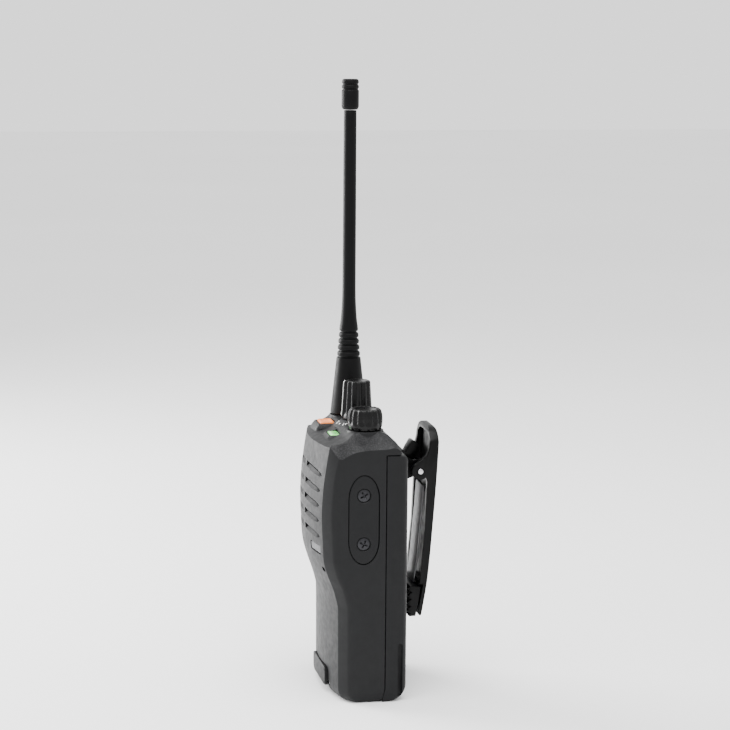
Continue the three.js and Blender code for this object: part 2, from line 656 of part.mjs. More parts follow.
function makeGripPad() {
  const pad = sideExtrusion([[15.8, 30], [19, 30], [20, 35], [21, 42], [16.6, 42]], -12.7, 12.7);
  const teeth = [32.4, 35.4, 38.4].map((z) => box(-13, 13, 15, 17, z, z + 1));
  return cut(pad, ...teeth);
}

// ---- Assembly -----------------------------------------------------------------------------------

const radio = new THREE.Group();

function place(name, body, look) {
  const mesh = new THREE.Mesh(geometryOf(body), look);
  mesh.name = name;
  radio.add(mesh);
}

place('front_case', makeFrontCase(), CASE_PLASTIC);
place('die_cast_chassis', makeChassis(), ALUMINIUM);
place('main_seal', makeMainSeal(), KEY_RUBBER);
place('main_board', makeMainBoard(), BOARD);
place('rf_shield', makeShield(), STEEL);
place('speaker_frame', makeSpeakerFrame(), DARK_STEEL);
place('speaker_magnet', rod('y', [0, SPEAKER.z], -14, -9.5, 8, 24), DARK_STEEL);
place('speaker_cone', makeSpeakerCone(), DARK_PLASTIC);
place('speaker_felt', rod('y', [0, SPEAKER.z], -21.1, -20.7, 15.4, 28), FELT);
place('microphone', rod('y', [20, 53.5], -16.8, -14.4, 2.4, 16), STEEL);
place('antenna_socket', makeAntennaSocket(), BRASS);
place('channel_encoder', box(-6.5, 6.5, -9, 0.7, 97.8, 105.3), DARK_PLASTIC);
place('volume_control', box(11, 22.6, -9, 0.7, 97.8, 103.6), DARK_PLASTIC);
place('emergency_switch', box(-15, -9, -16, -11, 94.8, 98.2), DARK_PLASTIC);
place('led_window', makeLedWindow(), GREEN);
place('accessory_cover', makeCover(), CASE_PLASTIC);
place('accessory_screw_upper', makeCoverScrew(1), DARK_STEEL);
place('accessory_screw_lower', makeCoverScrew(-1), DARK_STEEL);
place(
  'accessory_jack',
  box(23.8, 26.7, COVER.y - 4, COVER.y + 4, COVER.z - 6, COVER.z + 6),
  DARK_PLASTIC,
);
place('side_switch_board', makeSideSwitchBoard(), BOARD);
place('battery_connector', makeConnector(), DARK_PLASTIC);
CONTACT_XS.forEach((x, i) => {
  place(`spring_contact_${i + 1}`, rod('y', [x, CONTACT_Z], -1.5, 3, 1, 12), BRASS);
});
BOSS.zs.forEach((z, row) => {
  [-BOSS.x, BOSS.x].forEach((x, column) => {
    place(`chassis_screw_${row * 2 + column + 1}`, makeChassisScrew(x, z), STEEL);
  });
});
place('model_badge', frontLayer(badgeTool(0), 0.3, 0.9), DARK_PLASTIC);
place('latch_pin', rod('x', [LATCH.pinY, LATCH.pinZ], -15, 15, LATCH.pinRadius, 12), STEEL);

place('antenna_whip', makeWhip(), ANTENNA_RUBBER);
place('antenna_cap', makeAntennaCap(), ANTENNA_RUBBER);
place('antenna_plug', rod('z', [ANTENNA.x, ANTENNA.y], 99, 114.2, 3.2, 16), BRASS);
place('channel_knob', makeChannelKnob(), KNOB_PLASTIC);
place('channel_shaft', rod('z', [CHANNEL.x, CHANNEL.y], 105.6, 120.6, SHAFT_RADIUS, 16), ALUMINIUM);
place('volume_knob', makeVolumeKnob(), KNOB_PLASTIC);
place('volume_shaft', rod('z', [VOLUME.x, VOLUME.y], 103.9, 112.3, SHAFT_RADIUS, 16), ALUMINIUM);
place('emergency_button', makeEmergencyButton(), ORANGE);
place('ptt_button', makeKey(PTT, PTT.z, 1.3), KEY_RUBBER);
place('upper_side_key', makeKey(SIDE_KEY, SIDE_KEY.upperZ, 0.9), KEY_RUBBER);
place('lower_side_key', makeKey(SIDE_KEY, SIDE_KEY.lowerZ, 0.9), KEY_RUBBER);
place('battery_latch', makeLatch(), DARK_PLASTIC);
place('latch_bolt', centredBox(BOLT.halfWidth, -8.6, 5.4, BOLT.low, BOLT.high), STEEL);

place('battery_case', makeBatteryCase(), CASE_PLASTIC);
place('battery_lid', makeBatteryLid(), DARK_PLASTIC);
place('battery_cell_1', box(-26.4, -0.6, 5.3, 10.1, 24, 96.5), CELL_WRAP);
place('battery_cell_2', box(0.6, 26.4, 5.3, 10.1, 24, 96.5), CELL_WRAP);
place('protection_board', centredBox(22, 5.6, 6.8, 16, 22), BOARD);
CONTACT_XS.forEach((x, i) => {
  const plate = box(x - 1.8, x + 1.8, 3.35, 4.7, CONTACT_Z - 1.8, CONTACT_Z + 1.8);
  place(`battery_contact_${i + 1}`, plate, BRASS);
});
place('clip_bracket', makeClipBracket(), DARK_PLASTIC);
place('clip_screw_1', makeClipScrew(-CLIP_SCREW_X), STEEL);
place('clip_screw_2', makeClipScrew(CLIP_SCREW_X), STEEL);
place('clip_pin', rod('x', CLIP_PIVOT, -13.6, 13.6, CLIP.pinRadius, 14), STEEL);
place('clip_spring', makeClipSpring(), STEEL);
place('clip_lever', makeClipLever(), DARK_PLASTIC);
place('clip_leaf', makeClipLeaf(), DARK_STEEL);
place('clip_grip_pad', makeGripPad(), KEY_RUBBER);

export default radio;
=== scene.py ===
import math

import bmesh
import bpy
from mathutils import Matrix, Vector


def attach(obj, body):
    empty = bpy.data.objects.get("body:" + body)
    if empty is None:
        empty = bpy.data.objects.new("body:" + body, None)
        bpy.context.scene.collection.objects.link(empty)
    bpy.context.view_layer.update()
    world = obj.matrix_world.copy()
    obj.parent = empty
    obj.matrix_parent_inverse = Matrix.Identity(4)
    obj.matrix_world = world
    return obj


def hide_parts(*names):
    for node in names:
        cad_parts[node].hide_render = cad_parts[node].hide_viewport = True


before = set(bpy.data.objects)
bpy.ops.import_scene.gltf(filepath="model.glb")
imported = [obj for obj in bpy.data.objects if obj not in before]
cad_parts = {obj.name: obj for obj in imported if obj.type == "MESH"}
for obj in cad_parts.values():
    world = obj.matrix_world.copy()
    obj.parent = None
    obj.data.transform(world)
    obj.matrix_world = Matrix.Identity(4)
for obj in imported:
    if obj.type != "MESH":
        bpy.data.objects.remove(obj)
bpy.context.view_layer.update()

# A portable two-way radio. Lengths here are millimetres in the row frame: +X is the side with the
# accessory cover, -Y the speaker side and +Z up. Meshes are stored in metres.
MM = 0.001

# ---- Driving dimensions ----

HALF_WIDTH = 29.0
SPLIT_Y = 3.0
OVERHANG_Z = 99.8
BATTERY = {"front": 3.35, "back": 12.2, "top": 99.4}
CHANNEL = {"at": (0.0, -2.8), "base": 109.5, "top": 125.0}
POINTER_ANGLE = -95  # degrees from +X to the channel knob's white line
VOLUME = {"at": (17.0, -3.2), "base": 108.3, "top": 116.6}
ANTENNA_AT = (-19.0, -3.0)
EMERGENCY = {"at": (-12, -13.6), "half_width": 4.4, "half_depth": 2.9}
LAMP = {"at": (7.5, -14), "half_width": 4.2, "half_depth": 1.9}
COVER = {"y": -5.75, "z": 74.2, "half_width": 6.0, "half_height": 17.7, "end": 9.5}
COVER_SCREW_OFFSET = 9.7
PIVOT = (20.3, 89.5)
CLIP_HALF_WIDTH = 13.0
CLIP_TOP = 107.0
CLIP_SCREW = (7.5, 84.0)
EAR_X = 3.9
LATCH_CORNERS = (-13, 2.8), (13, 10.6)
LATCH_PIN = (-15.8, 4.6)
BADGE_CORNERS = (10, 59.5), (21.6, 62.5)
MICROPHONE_AT = (22, 53.5)
KEYS = {  # on the left wall: middle, half width, half height
    "ptt": ((-8, 73), 5.5, 11),
    "upper": ((-8, 91.5), 4, 3.4),
    "lower": ((-8, 55), 4, 3.4),
}


# ---- Curves and outlines ----

class SmoothTable:
    """A smooth monotone curve through (position, value) pairs."""

    def __init__(self, pairs):
        self.xs = [p[0] for p in pairs]
        self.ys = [p[1] for p in pairs]
        count = len(pairs)
        steps = [(self.ys[i + 1] - self.ys[i]) / (self.xs[i + 1] - self.xs[i]) for i in range(count - 1)]
        self.slopes = [steps[0]]
        for a, b in zip(steps, steps[1:]):
            self.slopes.append(0.0 if a * b <= 0 else 2 * a * b / (a + b))
        self.slopes.append(steps[-1])

    def __call__(self, x):
        if x <= self.xs[0]:
            return self.ys[0]
        if x >= self.xs[-1]:
            return self.ys[-1]
        i = max(k for k in range(len(self.xs) - 1) if self.xs[k] <= x)
        width = self.xs[i + 1] - self.xs[i]
        t = (x - self.xs[i]) / width
        rise = 3 * t * t - 2 * t ** 3
        start = t ** 3 - 2 * t * t + t
        end = t ** 3 - t * t
        return (
            self.ys[i] * (1 - rise) + self.ys[i + 1] * rise
            + width * (self.slopes[i] * start + self.slopes[i + 1] * end)
        )


def mix(a, b, t):
    return a + (b - a) * t


def clamp(value):
    return min(1.0, max(0.0, value))


def smooth_min(a, b, blend):
    share = clamp(0.5 + 0.5 * (b - a) / blend)
    return mix(b, a, share) - blend * share * (1 - share)


def arc(centre, radius, start, end, steps):
    """Points on a circle from one angle to another, in degrees."""
    points = []
    for i in range(steps + 1):
        angle = math.radians(mix(start, end, i / steps))
        points.append((centre[0] + radius * math.cos(angle), centre[1] + radius * math.sin(angle)))
    return points


def circle(centre, radius, segments=48):
    return arc(centre, radius, 0, 360, segments)[:-1]


def filleted(corners, steps=4):
    """A closed outline through (x, y, radius) corners, with round corners where radius isn't zero."""
    outline = []
    for i, (x, y, radius) in enumerate(corners):
        here = Vector((x, y))
        before = (Vector(corners[i - 1][:2]) - here).normalized()
        after = (Vector(corners[(i + 1) % len(corners)][:2]) - here).normalized()
        if radius == 0:
            outline.append((x, y))
            continue
        half = before.angle(after) / 2
        reach = radius / math.tan(half)
        centre = here + (before + after).normalized() * (radius / math.sin(half))
        first = here + before * reach - centre
        last = here + after * reach - centre
        turn = first.angle_signed(last)
        for k in range(steps + 1):
            spoke = first.copy()
            spoke.rotate(Matrix.Rotation(-turn * k / steps, 2))
            outline.append(tuple(centre + spoke))
    return outline


def rounded_rectangle(half_width, half_height, radius, steps=6):
    corners = [(half_width, -half_height), (half_width, half_height),
               (-half_width, half_height), (-half_width, -half_height)]
    return filleted([(x, y, radius) for x, y in corners], steps)


# ---- Mesh makers ----

def linked(name, data):
    """A new object with its data, in the scene."""
    obj = bpy.data.objects.new(name, data)
    bpy.context.scene.collection.objects.link(obj)
    return obj


def mesh_object(name, points, faces):
    """An object with a closed mesh from points in millimetres, its faces turned outwards."""
    mesh = bpy.data.meshes.new(name)
    mesh.from_pydata([Vector(p) * MM for p in points], [], faces)
    work = bmesh.new()
    work.from_mesh(mesh)
    bmesh.ops.remove_doubles(work, verts=work.verts, dist=1e-7)
    bmesh.ops.recalc_face_normals(work, faces=work.faces)
    work.to_mesh(mesh)
    work.free()
    return linked(name, mesh)


def loft(name, rings):
    """A closed skin over rings of equal length."""
    count = len(rings[0])
    faces = []
    for level in range(len(rings) - 1):
        for i in range(count):
            j = (i + 1) % count
            faces.append((level * count + i, level * count + j,
                          (level + 1) * count + j, (level + 1) * count + i))
    last = (len(rings) - 1) * count
    faces.append(tuple(reversed(range(count))))
    faces.append(tuple(range(last, last + count)))
    return mesh_object(name, [p for ring in rings for p in ring], faces)


def turned(name, centre, profile, segments=96, shape=None):
    """A turned solid about a vertical axis. shape(angle, radius, z) may change each point's radius."""
    rings = []
    for radius, z in profile:
        ring = []
        for i in range(segments):
            angle = 2 * math.pi * i / segments
            reach = shape(angle, radius, z) if shape else radius
            ring.append((centre[0] + reach * math.cos(angle), centre[1] + reach * math.sin(angle), z))
        rings.append(ring)
    return loft(name, rings)


def prism(name, outline, axis, start, end):
    """An outline swept along an axis: (y, z) for x, (x, z) for y and (x, y) for z."""
    def place(point, along):
        a, b = point
        return {"x": (along, a, b), "y": (a, along, b), "z": (a, b, along)}[axis]
    return loft(name, [[place(p, start) for p in outline], [place(p, end) for p in outline]])


def cylinder(name, axis, centre, start, end, radius, segments=48):
    return prism(name, circle(centre, radius, segments), axis, start, end)


def block(name, low, high):
    outline = [(low[0], low[1]), (high[0], low[1]), (high[0], high[1]), (low[0], high[1])]
    return prism(name, outline, "z", low[2], high[2])


def bake_modifiers(obj):
    graph = bpy.context.evaluated_depsgraph_get()
    mesh = bpy.data.meshes.new_from_object(obj.evaluated_get(graph))
    obj.modifiers.clear()
    obj.data = mesh
    return obj


def combine(obj, others, operation):
    """Joins or cuts obj with other closed objects, which are used up."""
    for other in others:
        modifier = obj.modifiers.new("combine", "BOOLEAN")
        modifier.operation = operation
        modifier.solver = "EXACT"
        modifier.object = other
        bake_modifiers(obj)
        bpy.data.objects.remove(other)
    return obj


def add(obj, *others):
    return combine(obj, others, "UNION")


def cut(obj, *others):
    return combine(obj, others, "DIFFERENCE")


def merged(name, objects):
    """Separate solids that don't touch, as one object, for a single cut."""
    work = bmesh.new()
    for obj in objects:
        work.from_mesh(obj.data)
        bpy.data.objects.remove(obj)
    mesh = bpy.data.meshes.new(name)
    work.to_mesh(mesh)
    work.free()
    return linked(name, mesh)


def soften(obj, width, segments=3, angle=32):
    """Rounds every edge that is sharper than the angle."""
    modifier = obj.modifiers.new("soften", "BEVEL")
    modifier.width = width * MM
    modifier.segments = segments
    modifier.limit_method = "ANGLE"
    modifier.angle_limit = math.radians(angle)
    modifier.use_clamp_overlap = True
    return bake_modifiers(obj)


def dress(obj, body, material, replaces=(), sharp=38):
    """Gives a piece its material, its smooth shading and its place in the frame."""
    obj.data.materials.clear()
    obj.data.materials.append(material)
    obj.data.shade_smooth()
    obj.data.set_sharp_from_angle(angle=math.radians(sharp))
    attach(obj, body)
    if replaces:
        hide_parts(*replaces)
    return obj


# ---- Materials ----

class Nodes:
    """A short way to write a node tree."""

    def __init__(self, name):
        self.material = bpy.data.materials.new(name)
        self.material.use_nodes = True
        self.tree = self.material.node_tree
        self.shader = self.tree.nodes["Principled BSDF"]
        self.place = self.tree.nodes.new("ShaderNodeTexCoord").outputs["Object"]

    def link(self, source, target):
        self.tree.links.new(source, target)

    def set(self, **values):
        for key, value in values.items():
            self.shader.inputs[key.replace("_", " ")].default_value = value

    def noise(self, size, detail=3.0, stretch=(1, 1, 1)):
        """Noise whose features are about size millimetres across."""
        mapping = self.tree.nodes.new("ShaderNodeMapping")
        mapping.inputs["Scale"].default_value = stretch
        self.link(self.place, mapping.inputs["Vector"])
        node = self.tree.nodes.new("ShaderNodeTexNoise")
        node.inputs["Scale"].default_value = 1 / (size * MM)
        node.inputs["Detail"].default_value = detail
        self.link(mapping.outputs["Vector"], node.inputs["Vector"])
        return node.outputs["Fac"]

    def scaled(self, source, low, high, start=0.3, end=0.7):
        node = self.tree.nodes.new("ShaderNodeMapRange")
        for key, value in (("From Min", start), ("From Max", end), ("To Min", low), ("To Max", high)):
            node.inputs[key].default_value = value
        self.link(source, node.inputs["Value"])
        return node.outputs["Result"]

    def math(self, operation, a, b=0.0):
        node = self.tree.nodes.new("ShaderNodeMath")
        node.operation = operation
        for socket, value in zip(node.inputs, (a, b)):
            if isinstance(value, (int, float)):
                socket.default_value = value
            else:
                self.link(value, socket)
        return node.outputs[0]

    def blend(self, share, low, high):
        """A colour between two, each a colour or a socket."""
        node = self.tree.nodes.new("ShaderNodeMix")
        node.data_type = "RGBA"
        self.link(share, node.inputs["Factor"])
        for key, value in ((6, low), (7, high)):
            if isinstance(value, tuple):
                node.inputs[key].default_value = (*value, 1)
            else:
                self.link(value, node.inputs[key])
        return node.outputs[2]

    def bump(self, height, depth, strength=1.0):
        """Adds a bump whose full height is depth millimetres to the shader's normal."""
        node = self.tree.nodes.new("ShaderNodeBump")
        node.inputs["Distance"].default_value = depth * MM
        node.inputs["Strength"].default_value = strength
        self.link(height, node.inputs["Height"])
        links = self.shader.inputs["Normal"].links
        if links:
            self.link(links[0].from_socket, node.inputs["Normal"])
        self.link(node.outputs["Normal"], self.shader.inputs["Normal"])

    def color(self, source):
        self.link(source, self.shader.inputs["Base Color"])

    def roughness(self, source):
        self.link(source, self.shader.inputs["Roughness"])


def shade(color, factor):
    return tuple(min(1.0, c * factor) for c in color)


def moulded(name, color, roughness, grain=0.35, depth=0.012, mottle=0.25, specular=0.4):
    """Moulded plastic or rubber: a fine spark-eroded grain, soft mottling and faint scuffs."""
    nodes = Nodes(name)
    nodes.set(Specular_IOR_Level=specular)
    broad = nodes.noise(9, 4)
    fine = nodes.noise(0.6, 3)
    cloud = nodes.math("ADD", nodes.math("MULTIPLY", broad, 0.6), nodes.math("MULTIPLY", fine, 0.4))
    dark, light = shade(color, 1 - mottle), shade(color, 1 + mottle)
    nodes.color(nodes.blend(nodes.scaled(cloud, 0, 1), dark, light))
    nodes.roughness(nodes.scaled(nodes.noise(2.5, 5), roughness - 0.07, roughness + 0.07))
    nodes.bump(nodes.noise(grain, 2), depth)
    return nodes


def body_plastic():
    """The case: grained plastic, with a coarser grain on its sloping shoulders, where lighter speckles
    are painted in as glints of light.
    """
    nodes = moulded("case_plastic", (0.006, 0.0062, 0.0067), 0.5, 0.3, 0.012, 0.14, 0.16)
    base = nodes.shader.inputs["Base Color"].links[0].from_socket
    split = nodes.tree.nodes.new("ShaderNodeSeparateXYZ")
    place = nodes.tree.nodes.new("ShaderNodeSeparateXYZ")
    coordinates = nodes.place.node
    nodes.link(coordinates.outputs["Normal"], split.inputs[0])
    nodes.link(nodes.place, place.inputs[0])
    outward = nodes.math("ABSOLUTE", split.outputs["X"])
    tilted = nodes.scaled(outward, 0, 1, 0.25, 0.5)
    not_flat = nodes.scaled(outward, 1, 0, 0.9, 0.98)
    leaning = nodes.math("MULTIPLY", tilted, not_flat)
    upward = nodes.scaled(split.outputs["Z"], 0, 1, 0.18, 0.4)
    high = nodes.scaled(place.outputs["Z"], 0, 1, 0.0955, 0.0975)
    shoulder = nodes.math("MULTIPLY", nodes.math("MULTIPLY", leaning, upward), high)
    painted_glint_speckle = nodes.scaled(nodes.noise(0.45, 3), 0, 1, 0.46, 0.62)
    # Painted highlight: on the up-facing shoulder band the colour is lifted to a lighter grey in speckles
    # that stand in for glints; the coarser grain bump is real.
    nodes.color(nodes.blend(nodes.math("MULTIPLY", shoulder, painted_glint_speckle), base, (0.02, 0.02, 0.0215)))
    nodes.bump(nodes.math("MULTIPLY", nodes.noise(0.5, 3), shoulder), 0.06)
    return nodes.material


def metal(name, color, roughness, brush=(1, 1, 1), depth=0.004):
    """Bare metal with brushing along one direction and small changes of gloss."""
    nodes = Nodes(name)
    nodes.set(Metallic=1.0)
    lines = nodes.noise(0.25, 4, brush)
    nodes.color(nodes.blend(nodes.scaled(lines, 0, 1), shade(color, 0.85), color))
    nodes.roughness(nodes.scaled(nodes.noise(1.5, 4), roughness - 0.06, roughness + 0.08))
    nodes.bump(lines, depth)
    return nodes.material


def paint(name, color):
    """A printed mark, slightly broken up at its edges."""
    nodes = Nodes(name)
    nodes.color(nodes.blend(nodes.scaled(nodes.noise(0.3, 3), 0, 1), shade(color, 0.88), color))
    nodes.roughness(nodes.scaled(nodes.noise(1, 3), 0.45, 0.6))
    nodes.bump(nodes.noise(0.2, 2), 0.004)
    return nodes.material


def lens():
    """The clear green cap over the indicator lamp, lit a little from within."""
    nodes = Nodes("green_lens")
    nodes.set(Specular_IOR_Level=0.6, Emission_Strength=0.25, Coat_Weight=0.6, Coat_Roughness=0.1)
    glow = nodes.scaled(nodes.noise(3, 3), 0, 1)
    tint = nodes.blend(glow, (0.06, 0.46, 0.07), (0.3, 0.85, 0.26))
    nodes.color(tint)
    nodes.link(tint, nodes.shader.inputs["Emission Color"])
    nodes.roughness(nodes.scaled(nodes.noise(0.5, 2), 0.15, 0.3))
    return nodes.material


def circuit_board():
    """Green lacquer over copper tracks."""
    nodes = Nodes("circuit_board")
    tracks = nodes.tree.nodes.new("ShaderNodeTexBrick")
    tracks.inputs["Scale"].default_value = 180
    tracks.inputs["Color1"].default_value = (0.01, 0.10, 0.045, 1)
    tracks.inputs["Color2"].default_value = (0.015, 0.13, 0.06, 1)
    tracks.inputs["Mortar"].default_value = (0.03, 0.2, 0.09, 1)
    nodes.link(nodes.place, tracks.inputs["Vector"])
    nodes.color(tracks.outputs["Color"])
    nodes.roughness(nodes.scaled(nodes.noise(2, 3), 0.3, 0.45))
    nodes.bump(tracks.outputs["Fac"], 0.03)
    return nodes.material


def felt():
    nodes = Nodes("felt")
    nodes.set(Sheen_Weight=0.4, Sheen_Roughness=0.6, Specular_IOR_Level=0.1)
    fibres = nodes.noise(0.25, 5, (1, 1, 2.5))
    nodes.color(nodes.blend(nodes.scaled(fibres, 0, 1), (0.004, 0.004, 0.004), (0.012, 0.012, 0.012)))
    nodes.roughness(nodes.scaled(fibres, 0.85, 0.98))
    nodes.bump(fibres, 0.08)
    return nodes.material


CASE = body_plastic()
CHARCOAL = (0.0055, 0.0057, 0.0062)
BATTERY_PLASTIC = moulded("battery_plastic", CHARCOAL, 0.5, 0.3, 0.01, 0.14, 0.15).material
COVER_PLASTIC = moulded("cover_plastic", CHARCOAL, 0.5, 0.3, 0.012, 0.14, 0.15).material
LATCH_PLASTIC = moulded("latch_plastic", CHARCOAL, 0.5, 0.3, 0.01, 0.14, 0.15).material
BADGE_PLASTIC = moulded("badge_plastic", (0.03, 0.031, 0.034), 0.4, 0.3, 0.003, 0.12, 0.4).material
KNOB = moulded("knob_plastic", (0.0012, 0.0012, 0.0013), 0.3, 0.25, 0.004, 0.2, 0.18).material
CLIP_PLASTIC = moulded("clip_plastic", (0.001, 0.001, 0.0011), 0.35, 0.3, 0.004, 0.2, 0.12).material
DARK = moulded("dark_plastic", (0.006, 0.006, 0.0065), 0.5, 0.3, 0.01, 0.2, 0.3).material
ANTENNA_RUBBER = moulded("antenna_rubber", (0.002, 0.002, 0.0022), 0.45, 0.35, 0.014, 0.15, 0.09).material
RUBBER = moulded("key_rubber", (0.006, 0.006, 0.0065), 0.7, 0.3, 0.014, 0.2, 0.22).material
ORANGE = moulded("orange_plastic", (0.80, 0.22, 0.045), 0.45, 0.3, 0.008, 0.12).material
LENS = lens()
WHITE = paint("white_print", (0.8, 0.8, 0.78))
STEEL = metal("bright_steel", (0.62, 0.62, 0.63), 0.28, (1, 1, 6))
DARK_STEEL = metal("dark_steel", (0.035, 0.035, 0.038), 0.38, (1, 1, 4))
SPRING_STEEL = metal("spring_steel", (0.23, 0.23, 0.235), 0.45, (6, 1, 1))
BRASS = metal("contact_brass", (0.75, 0.52, 0.2), 0.3)
ALUMINIUM = metal("cast_aluminium", (0.5, 0.5, 0.51), 0.5, (1, 1, 1), 0.03)
BOARD = circuit_board()
CELL_WRAP = moulded("cell_wrap", (0.03, 0.07, 0.17), 0.4, 0.5, 0.006, 0.15).material
FELT = felt()


# ---- Stage: camera, light and floor ----

CAMERA_AZIMUTH = 11.5  # degrees from +X towards -Y
CAMERA_ELEVATION = 9.1
CAMERA_DISTANCE = 900.0
CAMERA_ROLL = 0.45
CAMERA_AIM = Vector((0, 0, 131))
LENS_MM = 110.96


def polar(azimuth, elevation, distance):
    """A point seen from the middle of the radio, with azimuth from +X towards -Y, in degrees."""
    a, e = math.radians(azimuth), math.radians(elevation)
    return Vector((math.cos(e) * math.cos(a), -math.cos(e) * math.sin(a), math.sin(e))) * distance


def add_camera():
    data = bpy.data.cameras.new("camera")
    data.lens = LENS_MM
    data.sensor_width = 36
    data.clip_start = 0.01
    camera = linked("camera", data)
    towards = polar(CAMERA_AZIMUTH, CAMERA_ELEVATION, 1)
    roll = Matrix.Rotation(math.radians(CAMERA_ROLL), 3, "Z").to_quaternion()
    turn = towards.to_track_quat("Z", "Y") @ roll
    place = Matrix.Translation((CAMERA_AIM + towards * CAMERA_DISTANCE) * MM)
    camera.matrix_world = place @ turn.to_matrix().to_4x4()
    bpy.context.scene.camera = camera


def add_light(name, azimuth, elevation, distance, size, power):
    data = bpy.data.lights.new(name, "AREA")
    data.shape = "RECTANGLE"
    data.size, data.size_y = size
    data.energy = power
    light = linked(name, data)
    place = polar(azimuth, elevation, distance)
    light.matrix_world = (
        Matrix.Translation((CAMERA_AIM + place) * MM) @ place.to_track_quat("Z", "Y").to_matrix().to_4x4()
    )


def add_floor():
    floor = prism("floor", rounded_rectangle(4000, 4000, 400), "z", -12, -0.05)
    nodes = Nodes("white_floor")
    nodes.color(nodes.blend(nodes.scaled(nodes.noise(400, 2), 0, 1), (0.9, 0.9, 0.9), (0.93, 0.93, 0.93)))
    nodes.roughness(nodes.scaled(nodes.noise(200, 2), 0.75, 0.85))
    nodes.bump(nodes.noise(3, 2), 0.01)
    floor.data.materials.append(nodes.material)


def add_world():
    world = bpy.data.worlds.new("white")
    world.use_nodes = True
    sky = world.node_tree.nodes["Background"].inputs
    sky["Color"].default_value = (1, 1, 1, 1)
    sky["Strength"].default_value = 1.6
    bpy.context.scene.world = world


add_camera()
add_world()
add_floor()
add_light("front_softbox", 132, 16, 700, (0.4, 0.6), 12)
add_light("top_softbox", 20, 75, 700, (0.6, 0.6), 9)


# ---- Radio body ----

CENTRE_FRONT = SmoothTable([
    (0, -14.6), (1.6, -16.7), (4.5, -17.7), (38, -17.9), (42, -18.7), (47, -20.2), (52, -21.9),
    (57, -23.3), (62, -24.0), (68, -24.3), (78, -24.6), (88, -24.2), (93, -23.6), (97, -22.9),
    (100, -22.2),
])
CORNER_FRONT = SmoothTable([
    (0, -11.5), (1.6, -13.7), (4.5, -14.8), (38, -15.1), (41, -15.7), (46, -17.1), (51, -19.2),
    (58, -21.0), (66, -21.4), (75, -21.8), (86, -21.2), (93, -20.3), (97, -19.4), (100, -18.6),
])
SIDE = SmoothTable([(0, 27.5), (0.6, 28.3), (1.6, 28.8), (3.5, HALF_WIDTH), (100, HALF_WIDTH)])
BACK = 9.5
CORNER_BACK = 3.6
CORNER_IN = 4.6
CORNER_X = HALF_WIDTH - CORNER_IN
WALL = 2.0

# The shoulder: a sloping band between a lower ridge on the flank and an upper wavy ridge.
LOWER_RIDGE = SmoothTable([
    (-22, 99.2), (-19.5, 97.2), (-17.3, 96.6), (-15.2, 98), (-11.1, 100.3), (-7.5, 101.5), (-2.9, 101.9),
    (3.9, 102.1), (6.2, 102.6), (9.5, 100.9),
])
UPPER_RIDGE = SmoothTable([
    (-24, 100.2), (-18, 101.3), (-13.3, 103.7), (-9.2, 104.8), (-5, 103.5), (-2, 103.7), (0.9, 104.6),
    (6.4, 104.7), (9.5, 101.2),
])
RIDGE_INSET = 3.0
PLATEAU_INSET = 5.6
PLATEAU = SmoothTable([
    (-24.4, 100.2), (-23.7, 101.5), (-22.4, 102.5), (-20, 103.3), (-16, 104.4), (-12.5, 105.7),
    (-10.4, 107.2), (-9.4, 107.8), (-8, 108), (1.6, 108), (3.8, 107.3), (6.6, 105.1), (8.9, 102.3),
    (9.5, 100.8),
])


def body_outline(z, inset=0.0, front_steps=40):
    """The body's outline in plan at a height, anticlockwise from the right end of the front."""
    side = SIDE(z) - inset
    corner = CORNER_FRONT(z) + inset * 0.7
    centre = CENTRE_FRONT(z) + inset
    back = BACK - inset
    edge = side - CORNER_IN
    front = []
    for i in range(1, front_steps):
        across = 1 - 2 * i / front_steps
        front.append((edge * across, centre + (corner - centre) * across * across, 0))
    flank = [(side, mix(corner + CORNER_BACK + 1.6, back - 2.4, t / 14), 0) for t in range(15)]
    rear = [(mix(side - 3, 3 - side, t / 24), back, 0) for t in range(25)]
    right = [(edge, corner, 0.9), (side, corner + CORNER_BACK, 2.4), *flank, (side, back, 1.6)]
    left = [(-x, y, r) for x, y, r in reversed(right)]
    return filleted([*right, *rear, *left, *reversed(front)])


def top_height(x, y):
    """The height of the top surface over a point in plan."""
    convex = 4 * (x / CORNER_X) ** 2 * clamp((-8 - y) / 12)
    plateau = PLATEAU(y - convex)
    inset = HALF_WIDTH - abs(x)
    if inset < RIDGE_INSET:
        flank = mix(LOWER_RIDGE(y), UPPER_RIDGE(y), inset / RIDGE_INSET)
    else:
        rise = (inset - RIDGE_INSET) / (PLATEAU_INSET - RIDGE_INSET)
        flank = mix(UPPER_RIDGE(y), max(107.9, UPPER_RIDGE(y) + 2), rise)
    blend = 0.45
    return smooth_min(plateau, flank, blend)


def body_solid():
    """The outside of the body as one closed skin: walls, then the top surface in shrinking rings."""
    heights = [0, 0.25, 0.6, 1.1, 1.6, 2.3, 3.2, 4.5] + [4.5 + 1.5 * i for i in range(1, 60)]
    wall_top, rim_z = 93, 99.5
    rings = [[(x, y, z) for x, y in body_outline(z)] for z in heights if z < wall_top]
    rim = body_outline(rim_z)
    for share in (0.35, 0.7, 0.93, 1.0):
        outline = body_outline(mix(wall_top, rim_z, share))
        rings.append([(x, y, mix(wall_top, top_height(u, v), share))
                      for (x, y), (u, v) in zip(outline, rim)])
    insets = [0.1, 0.3, 0.6, 1.0, 1.5, 2.0, 2.4, 2.7, 2.9, 3.0, 3.1, 3.3, 3.6]
    insets += [4.0 + 0.4 * i for i in range(6)] + [6.6] + [7.4 + 1.1 * i for i in range(19)]
    for inset in insets:
        shrink = 1 - inset / HALF_WIDTH
        ring = [(x * shrink, -8 + (y + 8) * shrink) for x, y in rim]
        rings.append([(x, y, top_height(x, y)) for x, y in ring])
    return loft("front_case_shell", rings)


